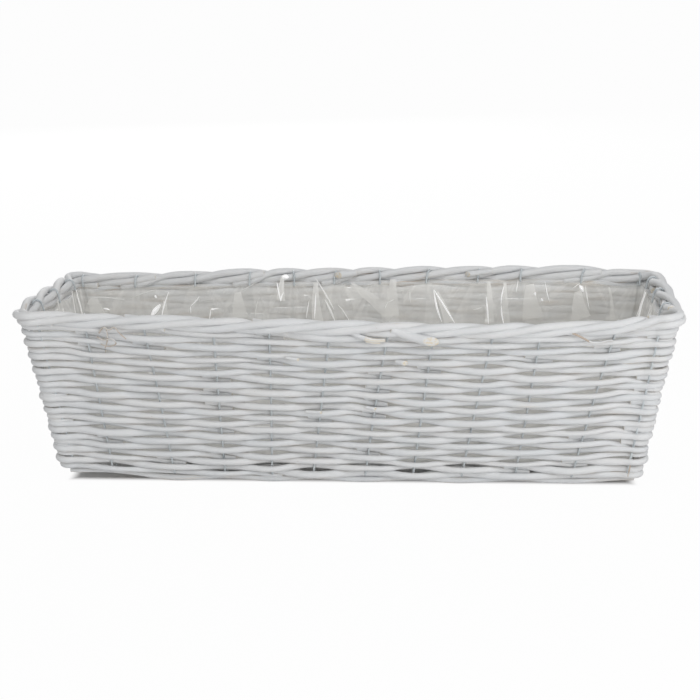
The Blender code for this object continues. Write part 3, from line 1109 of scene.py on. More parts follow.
@dataclass
class Walls:
    """The woven walls: in each row, rods pass in front of one wire and behind the next."""

    form: TroughForm
    willow: bpy.types.Material
    span_sets: tuple[tuple[int, ...], ...] = (
        (10, 10, 10), (8, 12, 10), (12, 8, 10), (8, 6, 8, 8), (10, 8, 6, 6),
    )
    butt_radii: Pair = (0.0029, 0.0038)
    tip_radii: Pair = (0.0021, 0.0029)
    top_raise: float = 0.0042
    foot_drop: float = 0.0025
    front_swell: float = -0.06
    swell: float = 0.24
    middle_swell: float = 0.14
    ease: float = 2.2
    end_reach: float = 0.24
    end_shift: float = 0.5
    butt_lift: float = 0.55
    tip_drop: float = 1.75
    front_jitter: float = 0.0011
    wire_jitter: float = 0.0003
    front_middle_jitter: float = 0.0006
    thickness_wander: float = 0.09
    wander_bays: float = 3.0
    middle_jitter: float = 0.0001
    ring_share: int = 26
    lumps: float = 0.022
    cover: float = 0.76
    # Lower cover on the inner side: partly thinner paint, partly painted shade.
    cover_and_shade_turn: float = 0.2
    knuckle: float = 0.0026
    knuckle_range: Pair = (-0.5, 1.0)
    knuckle_reach: float = 0.24
    seeds_a_row: int = 10
    wander_seed: int = 500
    seed: int = 11

    def splices(self, row: int, rng: np.random.Generator) -> list[Splice]:
        """The rods of one row, which start and end behind a wire.

        Args:
            row: the row's number, 0 at the bottom.
            rng: where the choices come from.

        Returns:
            The rods, in order.
        """
        spans = rng.permutation(self.span_sets[rng.integers(len(self.span_sets))])
        start = int(rng.integers(self.form.upright_count // 2)) * 2 + row % 2
        rods = []
        for number, span in enumerate(spans):
            end = start + int(span)
            butt, tip = rng.uniform(*self.butt_radii), rng.uniform(*self.tip_radii)
            tone, seed = rng.uniform(0, 1), row * self.seeds_a_row + number
            rods.append(Splice(start, end, butt, tip, tone, seed))
            start = end
        return rods

    def middle_radii(self, rods: list[Splice]) -> Array:
        """A row's radius in the middle of each bay."""
        count = self.form.upright_count
        radii = np.zeros(count)
        for rod in rods:
            bays = np.arange(rod.start, rod.end)
            radii[bays % count] = rod.radius(bays + 0.5)
        return radii

    def by_wall(self, front: float, others: float) -> Array:
        """A value for each bay: one for the front wall and one for the other walls."""
        count = self.form.wall_counts[0]
        return np.array([front] * count + [others] * (self.form.upright_count - count))

    def heights(self, radii: Array, rng: np.random.Generator) -> tuple[Array, Array]:
        """Stacks the rows in each bay.

        Each row lies on the one below. The stack is stretched to reach from a little
        below the solids' lowest row to a little above their highest.

        Args:
            radii: one row of radii for each row of rods, one column for each bay.
            rng: where the unevenness comes from.

        Returns:
            Heights at the wires and bay middles in turn, one row for each row of rods,
            and the stretch of each bay.
        """
        form = self.form
        steps = radii[:-1] + radii[1:] + form.row_gap
        lowest = form.first_row_height - self.foot_drop
        stretch = (form.top_row_height + self.top_raise - lowest) / steps.sum(axis=0)
        stacked = np.concatenate((np.zeros((1, radii.shape[1])), np.cumsum(steps, axis=0)))
        middles = lowest + stacked * stretch
        jitter = self.by_wall(self.front_middle_jitter, self.middle_jitter)
        middles = middles + rng.uniform(-1, 1, middles.shape) * jitter
        jitter = self.by_wall(self.front_jitter, self.wire_jitter)
        wires = (middles + np.roll(middles, 1, axis=1)) / 2 + rng.uniform(-1, 1, middles.shape) * jitter
        return np.stack((wires, middles), axis=2).reshape(len(radii), -1), stretch

    def knuckles(self, way: Array, row: int) -> Array:
        """How far a row stands out as it turns the corners, where each row bends in its own way.

        Each corner has one hump, with a height drawn for the row.

        Args:
            way: how far round the trough, in bays.
            row: the row's number.

        Returns:
            How much further out the row lies, and less than zero where it is pulled in.
        """
        form = self.form
        corners = np.cumsum(form.wall_counts) - 0.5
        rng = np.random.default_rng([self.seed, row])
        pushes = rng.uniform(*self.knuckle_range, len(corners)) * self.knuckle
        half = form.upright_count / 2
        away = (way[:, None] - corners[None, :] + half) % form.upright_count - half
        return bump(away, self.knuckle_reach) @ pushes

    def rod_skin(self, rod: Splice, row: int, stops: Array, stretch: Array) -> Skin:
        """The skin of one rod.

        Its offset from the wires is a cosine of the way, outwards at one wire and inwards
        at the next, by both radii less what the wire gives way. At the corners, the row's
        own push is added. Beyond its first and last wire it keeps straight on, and there
        the butt is lifted and the tip lowered, so that both lie behind the same wire.

        Args:
            rod: where it runs and how thick it is.
            row: its row.
            stops: the row's heights at wires and bay middles.
            stretch: how much thicker rods are in each bay.

        Returns:
            The rod's skin.
        """
        form = self.form
        first, last = rod.start - self.end_reach, rod.end + self.end_reach
        way = np.linspace(first, last, (rod.end - rod.start) * self.ring_share)
        radius = rod.radius(way) * loop_curve(stretch, way - 0.5)
        held = np.clip(way, rod.start, rod.end)
        swing = np.cos(math.pi * (held + row))
        at_wires = loop_curve(self.by_wall(self.front_swell, self.swell), way)
        between = loop_curve(self.by_wall(0.0, self.middle_swell), way - 0.5)
        fuller = between + (at_wires - between) * swing * swing
        slow = wander(way, self.wander_bays, rod.seed + self.wander_seed)
        radius = radius * (1 + self.thickness_wander * slow + fuller)
        offset = self.knuckles(way, row) - (form.side_step - form.wire_wave(way)) * swing
        from_start = np.clip((way - rod.start) / self.end_shift, 0, 1)
        from_end = np.clip((rod.end - way) / self.end_shift, 0, 1)
        lifted = (1 - smooth(from_start)) * self.butt_lift * rod.butt
        lift = lifted - (1 - smooth(from_end)) * self.tip_drop * rod.tip
        height = loop_curve(stops, way * 2) + lift
        path = eased(form.place(way, height, offset), self.ease)
        finish = {"tone": rod.tone, "cover": self.cover, "cover_and_shade_turn": self.cover_and_shade_turn}
        return Rod(path, radius, lumps=self.lumps, seed=rod.seed, **finish).skin()

    def build(self) -> Array:
        """Makes one piece for each row, in place of its solid.

        Returns:
            The height of each row at each wire.
        """
        rng = np.random.default_rng(self.seed)
        rows = [self.splices(row, rng) for row in range(self.form.row_count)]
        radii = np.array([self.middle_radii(rods) for rods in rows])
        stops, stretch = self.heights(radii, rng)
        for row, rods in enumerate(rows):
            skins = [self.rod_skin(rod, row, stops[row], stretch) for rod in rods]
            piece = make_piece(f"woven_row_{row + 1:02d}", join_skins(skins), self.willow)
            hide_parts(f"weaver_row_{row + 1:02d}")
        return stops[:, ::2]


# The rim


@dataclass
class Rim:
    """Three rods twisted along the top: each passes outside two wires, rising, then behind the third."""

    form: TroughForm
    willow: bpy.types.Material
    spans: tuple[int, ...] = (9, 12, 9)
    butt_radius: float = 0.0038
    tip_radius: float = 0.0033
    wire_half: float = 0.0034
    middle_half: float = 0.0037
    middle_offset: float = 0.0046
    front_rise: float = 0.0003
    rise: float = -0.0006
    jitter: float = 0.0004
    thickness_wander: float = 0.04
    wander_bays: float = 3.0
    ease: float = 2.2
    end_reach: float = 0.3
    end_shift: float = 0.6
    end_drop: float = 1.5
    ring_share: int = 26
    lumps: float = 0.02
    cover: float = 0.8
    strand_count: int = 3
    first_seed: int = 700
    seeds_a_strand: int = 10
    seed: int = 23
    wear: ClassVar[float] = -0.1

    def stops(self, strand: int) -> tuple[Array, Array]:
        """A strand's offset and height, at the wires and at the bay middles in turn.

        In the middle of a bay, one strand lies outside and the other two lie against
        it, above and below.

        Args:
            strand: the strand's number, from 0.

        Returns:
            Offsets from the wires, and heights.
        """
        form = self.form
        outside, inside = form.side_step, -form.side_step
        at_wires = np.array(((outside, -self.wire_half), (outside, self.wire_half), (inside, 0.0)))
        between = np.array(((self.middle_offset, 0.0), (0.0, self.middle_half), (0.0, -self.middle_half)))
        roles = (np.arange(form.upright_count) + strand) % self.strand_count
        both = np.stack((at_wires[roles], between[roles]), axis=1).reshape(-1, 2)
        rises = np.where(np.arange(len(both)) < 2 * form.wall_counts[0], self.front_rise, self.rise)
        return both[:, 0], both[:, 1] + form.rim_height + rises

    def rod_skin(self, rod: Splice, offsets: Array, heights: Array) -> Skin:
        """The skin of one rod of a strand, whose tip is lowered so that the next one lies on it.

        Args:
            rod: where it runs and how thick it is.
            offsets: the strand's offsets at wires and bay middles.
            heights: its heights there.

        Returns:
            The rod's skin.
        """
        first, last = rod.start - self.end_reach, rod.end + self.end_reach
        way = np.linspace(first, last, (rod.end - rod.start) * self.ring_share)
        radius = rod.radius(way) * (1 + self.thickness_wander * wander(way, self.wander_bays, rod.seed))
        left = np.clip((rod.end - way) / self.end_shift, 0, 1)
        lift = -(1 - smooth(left)) * self.end_drop * self.tip_radius
        line = self.form.place(way, loop_curve(heights, way * 2) + lift, loop_curve(offsets, way * 2))
        path = eased(line, self.ease)
        return Rod(path, radius, lumps=self.lumps, seed=rod.seed, tone=rod.tone, cover=self.cover).skin()

    def build(self) -> None:
        """Makes the three strands, in place of their solids."""
        rng = np.random.default_rng(self.seed)
        count = self.strand_count
        for strand in range(count):
            offsets, heights = self.stops(strand)
            heights = heights + rng.uniform(-1, 1, len(heights)) * self.jitter
            start = (count - 1 - strand) % count + count * int(rng.integers(self.form.upright_count // count))
            skins = []
            for number, span in enumerate(rng.permutation(self.spans)):
                end = start + int(span)
                seed = self.first_seed + strand * self.seeds_a_strand + number
                rod = Splice(start, end, self.butt_radius, self.tip_radius, rng.uniform(0, 1), seed)
                skins.append(self.rod_skin(rod, offsets, heights))
                start = end
            piece = make_piece(f"rim_rod_{strand + 1}", join_skins(skins), self.willow)
            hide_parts(f"rim_strand_{strand + 1}")


# The wires


CORNER_CUT = 0.25
FEWEST_POINTS = 3


def rounded(stops: Array, passes: int = 4) -> Array:
    """Rounds a line's corners.

    Each pass puts two points on every stretch, a quarter of the way from its ends, in
    place of its ends. The line's own two ends stay.

    Args:
        stops: the line's points.
        passes: how often it is done.

    Returns:
        The points of the rounded line.
    """
    for _ in range(passes):
        early = stops[:-1] * (1 - CORNER_CUT) + stops[1:] * CORNER_CUT
        late = stops[:-1] * CORNER_CUT + stops[1:] * (1 - CORNER_CUT)
        cut = np.stack((early, late), axis=1).reshape(-1, stops.shape[1])
        stops = np.concatenate((stops[:1], cut[1:-1], stops[-1:]))
    return stops


def evenly(path: Array, step: float) -> Array:
    """Points at even steps along a line.

    Args:
        path: the line's points.
        step: about how far apart the new ones are.

    Returns:
        The new points, the line's ends among them.
    """
    lengths = lengths_along(path)
    at = np.linspace(0, lengths[-1], max(FEWEST_POINTS, int(lengths[-1] / step)))
    return np.stack([np.interp(at, lengths, path[:, axis]) for axis in range(3)], axis=1)


@dataclass
class Wires:
    """The upright wires, each running under the base and up the wall opposite.

    Each leg starts with five corners round the hook, two of them on its tip, and ends
    with two at the base.
    """

    form: TroughForm
    metal: bpy.types.Material
    row_heights: Array
    film_thickness: float = 0.0004
    paint_thickness: float = 0.0002
    step: float = 0.0011
    sides: int = 8
    cover: float = 0.6
    tip_corners: int = 2
    hook_corners: int = 5
    base_corners: int = 2
    tip_jitter: float = 0.003
    tip_lean: float = 0.05
    sway: float = 0.012
    long_seed: int = 50
    seed: int = 31

    @property
    def hook_half(self) -> float:
        """Half the width of a hook."""
        form = self.form
        liner = form.wall_half + form.gap
        return (liner + self.film_thickness + form.gap + form.wire_radius) / 2

    def leg(self, upright: int, base_height: float, rng: np.random.Generator) -> Array:
        """A wire from its tip inside the rim, over the rim and down the wall to the base.

        Args:
            upright: how far round the trough it stands, in bays.
            base_height: its height under the base.
            rng: where its unevenness comes from.

        Returns:
            The corners of its line.
        """
        form = self.form
        half, turn = self.hook_half, math.tan(math.pi / 8)
        rise = form.side_step + form.gap
        tip = form.rim_low_height - form.rod_radius - rng.uniform(0, self.tip_jitter)
        top = form.rim_height + rise
        base_corner = form.base_step * (1 - turn)
        stops = np.array((
            (-2 * half, tip),
            (-2 * half, form.rim_height + turn * rise),
            (-half * (1 + turn), top),
            (-half * (1 - turn), top),
            (0.0, form.rim_height + turn * rise),
            *self.wave_stops(upright),
            (0.0, base_height + base_corner),
            (-base_corner, base_height),
        ))
        way = np.full(len(stops), float(upright))
        way[:self.tip_corners] += rng.uniform(-self.tip_lean, self.tip_lean)
        wall = way[self.hook_corners:-self.base_corners]
        wall += rng.uniform(-self.sway, self.sway) * np.sin(np.linspace(0, math.pi, len(wall)))
        return form.place(way, stops[:, 1], stops[:, 0])

    def wave_stops(self, upright: int) -> list[Pair]:
        """A wire's offset and height at each row, from the top down: it gives way to each rod."""
        wave = float(self.form.wire_wave(np.array((float(upright),)))[0])
        rows = range(self.form.row_count - 1, 0, -1)
        return [(wave * math.cos(math.pi * (upright + row)), self.row_heights[row, upright]) for row in rows]

    def wire_piece(self, name: str, node: str, first: int, last: int, base_height: float, seed: int) -> None:
        """Makes one wire, in place of its solid.

        Args:
            name: the piece's name.
            node: the solid that it stands for.
            first: the upright where it starts.
            last: the upright where it ends.
            base_height: its height under the base.
            seed: picks its unevenness.
        """
        rng = np.random.default_rng(seed)
        down, up = self.leg(first, base_height, rng), self.leg(last, base_height, rng)[::-1]
        path = evenly(rounded(np.concatenate((down, up))), self.step)
        across = np.cross(path[-1] - path[0], (0.0, 0.0, 1.0))
        across = tuple(across / np.linalg.norm(across))
        radius = np.array(self.form.wire_radius + self.paint_thickness)
        skin = Rod(path, radius, across, self.sides, seed=seed, cover=self.cover).skin()
        piece = make_piece(name, skin, self.metal)
        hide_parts(node)

    def build(self) -> None:
        """Makes every wire."""
        form = self.form
        cross_count, long_count = len(form.base_shares), len(form.long_wire_slots)
        rear_start = cross_count + long_count
        for number in range(cross_count):
            name = f"cross_wire_{number + 1:02d}"
            opposite = rear_start + cross_count - 1 - number
            self.wire_piece(f"bent_{name}", name, number, opposite, form.base_wire_height, self.seed + number)
        for number in range(long_count):
            name = f"long_wire_{number + 1}"
            left, right = form.upright_count - 1 - number, cross_count + number
            seed = self.seed + self.long_seed + number
            self.wire_piece(f"bent_{name}", name, left, right, form.long_wire_height, seed)


# The base


@dataclass
class Base:
    """The rods of the base, over one cross wire and under the next."""

    form: TroughForm
    willow: bpy.types.Material
    step: float = 0.0024
    end_stand: float = 0.006
    end_jitter: float = 0.002
    outer_wave: float = 0.3
    outer_taper: float = 0.35
    thickness_wander: float = 0.05
    thickness_wavelength: float = 0.16
    depth_wander: float = 0.0003
    depth_wavelength: float = 0.1
    lumps: float = 0.02
    cover: float = 0.7
    # Lower cover on the inner side: partly thinner paint, partly painted shade.
    cover_and_shade_turn: float = 0.1
    depth_seed: int = 60
    first_seed: int = 900
    seed: int = 41

    def rod_path(self, number: int, rng: np.random.Generator) -> tuple[Array, Array]:
        """One base rod's line, its height a cosine from wire to wire.

        Args:
            number: the rod's number, from 0 at the front.
            rng: where its unevenness comes from.

        Returns:
            The line's points, and the radius at each of them.
        """
        form = self.form
        half_length = form.base_length / 2 - form.wall_half
        straight = half_length - form.corner_radius
        wires = np.array(form.base_shares) * straight
        end = wires[-1] + form.wire_radius + self.end_stand
        ends = np.array((-end, end)) + rng.uniform(-1, 1, 2) * self.end_jitter
        along = np.linspace(ends[0], ends[1], int(2 * end / self.step))
        place = np.interp(along, wires, np.arange(len(wires)))
        slow = wander(along, self.thickness_wavelength, self.seed + number)
        radius = form.base_rod_radius * (1 - self.thickness_wander * (1 + slow))
        outer = number in (0, form.base_rod_count - 1)
        if outer:
            radius = radius * (1 - self.outer_taper * (along / end) ** 4)
        swing = -np.cos(math.pi * (place + number)) * (radius + form.wire_radius + form.gap)
        swing = swing * self.outer_wave - (1 - self.outer_wave) * form.base_step if outer else swing
        aside = wander(along, self.depth_wavelength, self.seed + self.depth_seed + number)
        depth = form.base_rod_depth(number) + self.depth_wander * aside
        height = form.base_wire_height + swing + form.lift(along)
        return np.stack((along - form.base_shift, depth, height), axis=1), radius

    def build(self) -> None:
        """Makes every base rod, in place of its solid."""
        rng = np.random.default_rng(self.seed)
        for number in range(self.form.base_rod_count):
            path, radius = self.rod_path(number, rng)
            finish = {"tone": rng.uniform(0, 1), "cover": self.cover, "cover_and_shade_turn": self.cover_and_shade_turn}
            skin = Rod(path, radius, lumps=self.lumps, seed=self.first_seed + number, **finish).skin()
            name = f"base_rod_{number + 1:02d}"
            piece = make_piece(f"laid_{name}", skin, self.willow)
            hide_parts(name)


# The liner


class Fold(Enum):
    """The kinds of ridge in the film."""

    CREASE = "crease"
    BAND = "band"


@dataclass(frozen=True)
class Ridge:
    """A ridge in the film, from one place on the wall to another, in bays and metres of height.

    A crease is arched like a pipe, and a band is a flat cloudy strip.
    """

    kind: Fold
    way: float
    height: float
    end_way: float
    end_height: float
    width: float
    strength: float
    blunt: ClassVar[float] = 0.02
    fullness: ClassVar[float] = 0.6
    crease_stand: ClassVar[float] = 0.5
    band_start: ClassVar[float] = 0.35
    band_stand: ClassVar[float] = 0.0002
    band_fade: ClassVar[float] = 0.6

    def half_width(self, along: Array) -> Array:
        """Half its width: that of a crease is largest halfway, that of a band at its end."""
        if self.kind is Fold.CREASE:
            inner = np.clip(along, self.blunt, 1 - self.blunt)
            return self.width / 2 * np.sin(math.pi * inner) ** self.fullness
        return self.width / 2 * (self.band_start + (1 - self.band_start) * along)

    def stand(self) -> float:
        """How far it stands off the film around it."""
        return self.crease_stand * self.width if self.kind is Fold.CREASE else self.band_stand

    def fade(self, along: Array) -> Array:
        """How strong it is along its length: a band fades towards its end."""
        return np.ones_like(along) if self.kind is Fold.CREASE else 1.0 - self.band_fade * smooth(along)


@dataclass
class Liner:
    """A bag of clear film that stands in the trough, held at its edge by the wires' hooks.

    Its creases are narrow ridges and its cloudy bands wide ones. Each of those on the
    rear wall is given by its two ends in pixels of the photograph, its width in metres
    and its strength.
    """

    form: TroughForm
    view: Viewpoint
    film: bpy.types.Material
    columns: int = 900
    wall_rings: int = 60
    bend_rings: int = 7
    floor_rings: int = 18
    clearance: float = 0.0004
    bend: float = 0.008
    flat: Pair = (0.82, 0.42)
    edge_drop: float = 0.0045
    edge_fade: float = 0.006
    swag: float = 0.0035
    swag_steady: float = 0.75
    swag_bays: float = 5.0
    fold_depth: float = 0.0024
    fold_slope: float = 4.0
    fold_bays: float = 2.3
    fan_start: float = 0.35
    fan_depth: float = 0.05
    fan_turn: float = 0.9
    fan_bays: float = 0.5
    fan_share: float = 0.2
    hook_bays: float = 0.16
    hook_depth: float = 0.014
    edge_looseness: float = 0.15
    loose_depth: float = 0.02
    ripple_slope: float = 0.4
    ripple_length: float = 0.11
    ripple_height: float = 0.0016
    ripple_growth: float = 3.0
    grain_bay: float = 0.05
    patch_start: float = 0.3
    patch_depth: float = 0.04
    patch_turn: float = 1.7
    patch_bays: float = 0.7
    patch_strength: float = 1.6
    patch_fade: float = 0.11
    trials_a_bay: int = 10
    most_bow: float = 0.06
    ridge_rings: int = 15
    ridge_sides: int = 5
    extra_ridges: int = 70
    kind_shares: Pair = (0.65, 0.35)
    most_lean: float = 0.45
    ridge_tops: Pair = (0.004, 0.02)
    ridge_drops: Pair = (0.012, 0.055)
    seed: int = 53
    # Ridge strengths, here and in the tables below, make the film hazier, and whiter and glowing as painted
    # glints.
    widths: ClassVar[dict[Fold, Pair]] = {Fold.CREASE: (0.0008, 0.0022), Fold.BAND: (0.007, 0.018)}
    strengths: ClassVar[dict[Fold, Pair]] = {Fold.CREASE: (0.3, 0.9), Fold.BAND: (0.1, 0.3)}
    rear_creases: tuple[tuple[float, ...], ...] = (
        (84, 297, 126, 300, 0.0008, 0.35),
        (128.7, 299.5, 157.6, 289, 0.0008, 0.25),
        (155, 295, 157, 297.5, 0.0022, 1.30),
        (161, 304, 151.5, 316, 0.0050, 1.30),
        (168.8, 291.6, 162, 316, 0.0013, 0.90),
        (199.6, 296, 190.8, 306, 0.0012, 0.80),
        (190.8, 306, 191.2, 313, 0.0011, 0.70),
        (210.8, 309, 210, 318, 0.0012, 0.70),
        (257.5, 281, 241.7, 290, 0.0010, 0.35),
        (282, 276, 289, 277, 0.0050, 1.10),
        (277, 282, 281, 301, 0.0015, 0.90),
        (283.7, 292, 281, 301, 0.0014, 0.90),
        (104, 308, 110.5, 309.3, 0.0018, 0.90),
        (258.8, 298, 256, 316, 0.0012, 0.35),
        (315.5, 277.8, 333.9, 309, 0.0017, 0.55),
        (316.1, 292, 314.6, 318, 0.0013, 0.95),
        (309.6, 299, 306.3, 318, 0.0013, 0.55),
        (324.7, 299, 335.2, 321, 0.0024, 0.50),
        (337.8, 304, 350, 321, 0.0012, 0.55),
        (433.7, 289, 441.6, 321, 0.0018, 1.00),
        (433.7, 289, 454.8, 323, 0.0018, 1.10),
        (389, 301, 394, 299, 0.0010, 0.60),
        (385, 308, 388.5, 301, 0.0010, 0.50),
        (410, 289, 410.4, 302, 0.0012, 0.50),
        (473, 309, 482, 306.5, 0.0009, 0.45),
        (485.9, 295, 488.5, 323, 0.0014, 1.00),
        (504.3, 285, 501, 304, 0.0013, 1.00),
        (501, 304, 503.6, 323, 0.0013, 1.00),
        (518, 280, 516, 292, 0.0014, 0.55),
        (535, 291.5, 535.2, 295, 0.0022, 1.20),
        (541, 298, 542.5, 300.5, 0.0018, 0.80),
        (545, 281, 549.3, 301, 0.0010, 0.70),
        (579, 285, 583, 291.5, 0.0034, 1.20),
        (572.6, 288, 583.7, 280, 0.0010, 0.60),
        (585, 285, 589, 308, 0.0013, 0.60),
    )
    rear_bands: tuple[tuple[float, ...], ...] = (
        (351, 284, 393, 316, 0.0140, 0.12),
        (393, 279, 392, 316, 0.0160, 0.12),
        (437, 292, 449, 322, 0.0100, 0.30),
        (488.5, 281, 489, 322, 0.0090, 0.22),
        (505, 282, 506, 322, 0.0080, 0.22),
        (578, 291, 582, 318, 0.0200, 0.16),
        (609, 287, 612, 320, 0.0050, 0.20),
        (165, 300, 165, 316, 0.0080, 0.25),
        (316, 282, 318, 321, 0.0120, 0.20),
        (283, 276, 281, 300, 0.0090, 0.35),
        (95, 298, 95, 312, 0.0220, 0.18),
        (238, 292, 240, 318, 0.0180, 0.12),
        (530, 284, 533, 318, 0.0220, 0.10),
    )

    @property
    def floor_height(self) -> float:
        """The height of the film on the base."""
        return self.form.base_top + self.form.gap + self.clearance

    def edge_height(self, way: Array) -> Array:
        """The height of the film's edge, which hangs in shallow swags from hook to hook."""
        slow = wander(way, self.swag_bays, self.seed)
        hang = np.sin(math.pi * way) ** 2 * (self.swag_steady + (1 - self.swag_steady) * slow)
        return self.form.rim_height - self.edge_drop - self.swag * hang

    def inset(self, way: Array, height: Array) -> Array:
        """How far inside the wires' surface the film lies.

        Folds spread downwards from each hook: a slow wave of the way, whose length
        grows with the depth below the edge, plus finer waves. They vanish at the hooks.

        Args:
            way: how far round the trough, in bays.
            height: the height of each point.

        Returns:
            The distance at each point.
        """
        below = np.clip(self.edge_height(way) - height, 0, None)
        from_hook = way - np.round(way)
        spread = from_hook / (self.fan_start + below / self.fan_depth)
        folds = halved(wander(way + self.fold_slope * below, self.fold_bays, self.seed + 1))
        fans = halved(wander(spread + self.fan_turn * np.round(way), self.fan_bays, self.seed + 2))
        loose = 1 - bump(from_hook, self.hook_bays) * bump(below, self.hook_depth)
        growth = np.clip(self.edge_looseness + below / self.loose_depth, 0, 1)
        depth = self.fold_depth * (folds + self.fan_share * fans) * loose * growth
        return self.form.wall_half + self.form.gap + self.clearance + depth

    def bag(self) -> tuple[Array, Array, Array]:
        """The film's surface.

        Its profile goes from the edge down the wall, round a quarter circle and in over
        the base to the middle line, and is carried round the trough.

        Returns:
            Rings of points, how far down each point is, and how far round.
        """
        form = self.form
        way = np.linspace(0, form.upright_count, self.columns, endpoint=False)
        top, low = self.edge_height(way), self.floor_height + self.bend
        rings = []
        for share in np.linspace(0, 1, self.wall_rings):
            height = top + (low - top) * share
            rings.append(form.place(way, height, -self.inset(way, height)))
        foot = self.inset(way, np.full_like(way, low))
        for turn in np.linspace(0, math.pi / 2, self.bend_rings)[1:]:
            height = np.full_like(way, low - self.bend * math.sin(turn))
            rings.append(form.place(way, height, -foot - self.bend * (1 - math.cos(turn))))
        edge = rings[-1]
        reach = (form.base_length - form.base_depth) / 2
        centre = np.stack((np.clip(edge[:, 0], -reach, reach), np.zeros_like(way), edge[:, 2]), axis=1)
        for share in np.linspace(0, 1, self.floor_rings)[1:]:
            ring = edge + (centre - edge) * share
            slanted = ring[:, 0] + self.ripple_slope * ring[:, 1]
            ripple = halved(wander(slanted, self.ripple_length, self.seed + 3))
            ring[:, 2] += self.ripple_height * ripple * min(1.0, self.ripple_growth * share)
            rings.append(ring)
        points = np.stack(rings)
        steps = np.linalg.norm(np.diff(points, axis=0), axis=2)
        down = np.concatenate((np.zeros((1, self.columns)), np.cumsum(steps, axis=0)))
        return points, down, np.broadcast_to(way, down.shape)

    def bag_skin(self) -> Skin:
        """The skin of the whole bag."""
        points, down, way = self.bag()
        grain = np.stack((way * self.grain_bay, down, np.zeros_like(down)), axis=2).reshape(-1, 3)
        from_hook = way - np.round(way)
        spread = from_hook / (self.patch_start + down / self.patch_depth)
        fans = wander(spread + self.patch_turn * np.round(way), self.patch_bays, self.seed + 4)
        patch = smooth(np.clip(fans * self.patch_strength, 0, 1)) * bump(down, self.patch_fade)
        fade = smooth(np.clip(down / self.edge_fade, 0, 1))
        coat = np.stack((np.zeros_like(patch), patch, fade), axis=2).reshape(-1, 3)
        quads = ring_quads(len(points), self.columns)[:, (0, 3, 2, 1)]
        return Skin(points.reshape(-1, 3), quads, [], grain, coat)

    def ridge_skin(self, ridge: Ridge, seed: int) -> Skin:
        """The strip of film of one ridge.

        Its middle line runs from start to end with a slight bow. The rest of the strip
        lies square to it on the wall, and is arched across.

        Args:
            ridge: where it runs.
            seed: picks its bow.

        Returns:
            The strip's skin.
        """
        form = self.form
        along = np.linspace(0, 1, self.ridge_rings)[:, None]
        across = np.linspace(-1, 1, self.ridge_sides)[None, :]
        near = form.place(np.array((ridge.way, ridge.way + 1 / self.trials_a_bay)), ridge.height, 0.0)
        bay = self.trials_a_bay * np.linalg.norm(near[1] - near[0])
        run, drop = (ridge.end_way - ridge.way) * bay, ridge.end_height - ridge.height
        length = math.hypot(run, drop)
        bend = np.random.default_rng(seed).uniform(-self.most_bow, self.most_bow)
        bow = bend * length * np.sin(math.pi * along)
        aside = bow + across * ridge.half_width(along)
        way = ridge.way + (ridge.end_way - ridge.way) * along - aside * drop / length / bay
        height = ridge.height + drop * along + aside * run / length
        stand = self.clearance + ridge.stand() * (1 - across**2)
        inset = self.inset(way, height) + stand
        points = form.place(way.ravel(), height.ravel(), -inset.ravel())
        # The strength makes the film hazier here, and whitens it and makes it glow as a painted glint.
        haze_and_glint = np.broadcast_to(ridge.strength * ridge.fade(along), way.shape)
        coat = np.stack((haze_and_glint, np.zeros_like(way), np.ones_like(way)), axis=2).reshape(-1, 3)
        grain = np.stack((way * self.grain_bay, -height, np.zeros_like(way)), axis=2).reshape(-1, 3)
        index = np.arange(way.size).reshape(way.shape)
        corners = (index[:-1, :-1], index[:-1, 1:], index[1:, 1:], index[1:, :-1])
        return Skin(points, np.stack(corners, axis=2).reshape(-1, 4), [], grain, coat)

    def ridges(self) -> list[Ridge]:
        """Every ridge: those seen on the rear wall, and others all round."""
        form = self.form
        rear_left = form.upright_count - len(form.long_wire_slots) - 1
        rear_right = rear_left + 1 - len(form.base_shares)
        found = []
        for kind, rows in ((Fold.CREASE, self.rear_creases), (Fold.BAND, self.rear_bands)):
            table = np.array(rows)
            depth = np.full(len(table), -form.wall_half)
            starts = self.view.find(form, table[:, :2], depth, (rear_right, rear_left))
            ends = self.view.find(form, table[:, 2:4], depth, (rear_right, rear_left))
            placed = np.stack((*starts, *ends, table[:, 4], table[:, 5]), axis=1)
            found += [Ridge(kind, *row) for row in placed]
        rng = np.random.default_rng(self.seed)
        elsewhere = [way for way in range(form.upright_count) if not rear_right <= way <= rear_left]
        for _ in range(self.extra_ridges):
            kind = rng.choice(list(Fold), p=self.kind_shares)
            hook, lean = int(rng.choice(elsewhere)), rng.uniform(-self.most_lean, self.most_lean)
            top = form.rim_height - rng.uniform(*self.ridge_tops)
            low = top - rng.uniform(*self.ridge_drops)
            width, strength = rng.uniform(*self.widths[kind]), rng.uniform(*self.strengths[kind])
            found.append(Ridge(kind, hook + 0.5 * lean, top, hook + lean, low, width, strength))
        return found

    def build(self) -> None:
        """Makes the film as one open sheet, its creases on it."""
        ridges = [self.ridge_skin(ridge, self.seed + number) for number, ridge in enumerate(self.ridges())]
        skin = join_skins([self.bag_skin(), *ridges])
        piece = make_piece("liner_film", skin, self.film)
        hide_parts("film_liner")


# Loose ends


@dataclass(frozen=True)
class Sprig:
    """A rod's loose end or a fibre that has come off one.

    Its marks are pixels of the photograph that it passes, each with its distance out of
    the wires' surface. It is bare wood, or painted as far as its cover says, and its far
    end is cut with a slant.
    """

    marks: tuple[Triple, ...]
    butt: float
    tip: float
    cover: float = 0.7
    slant: float = 0.0
    bare: bool = False


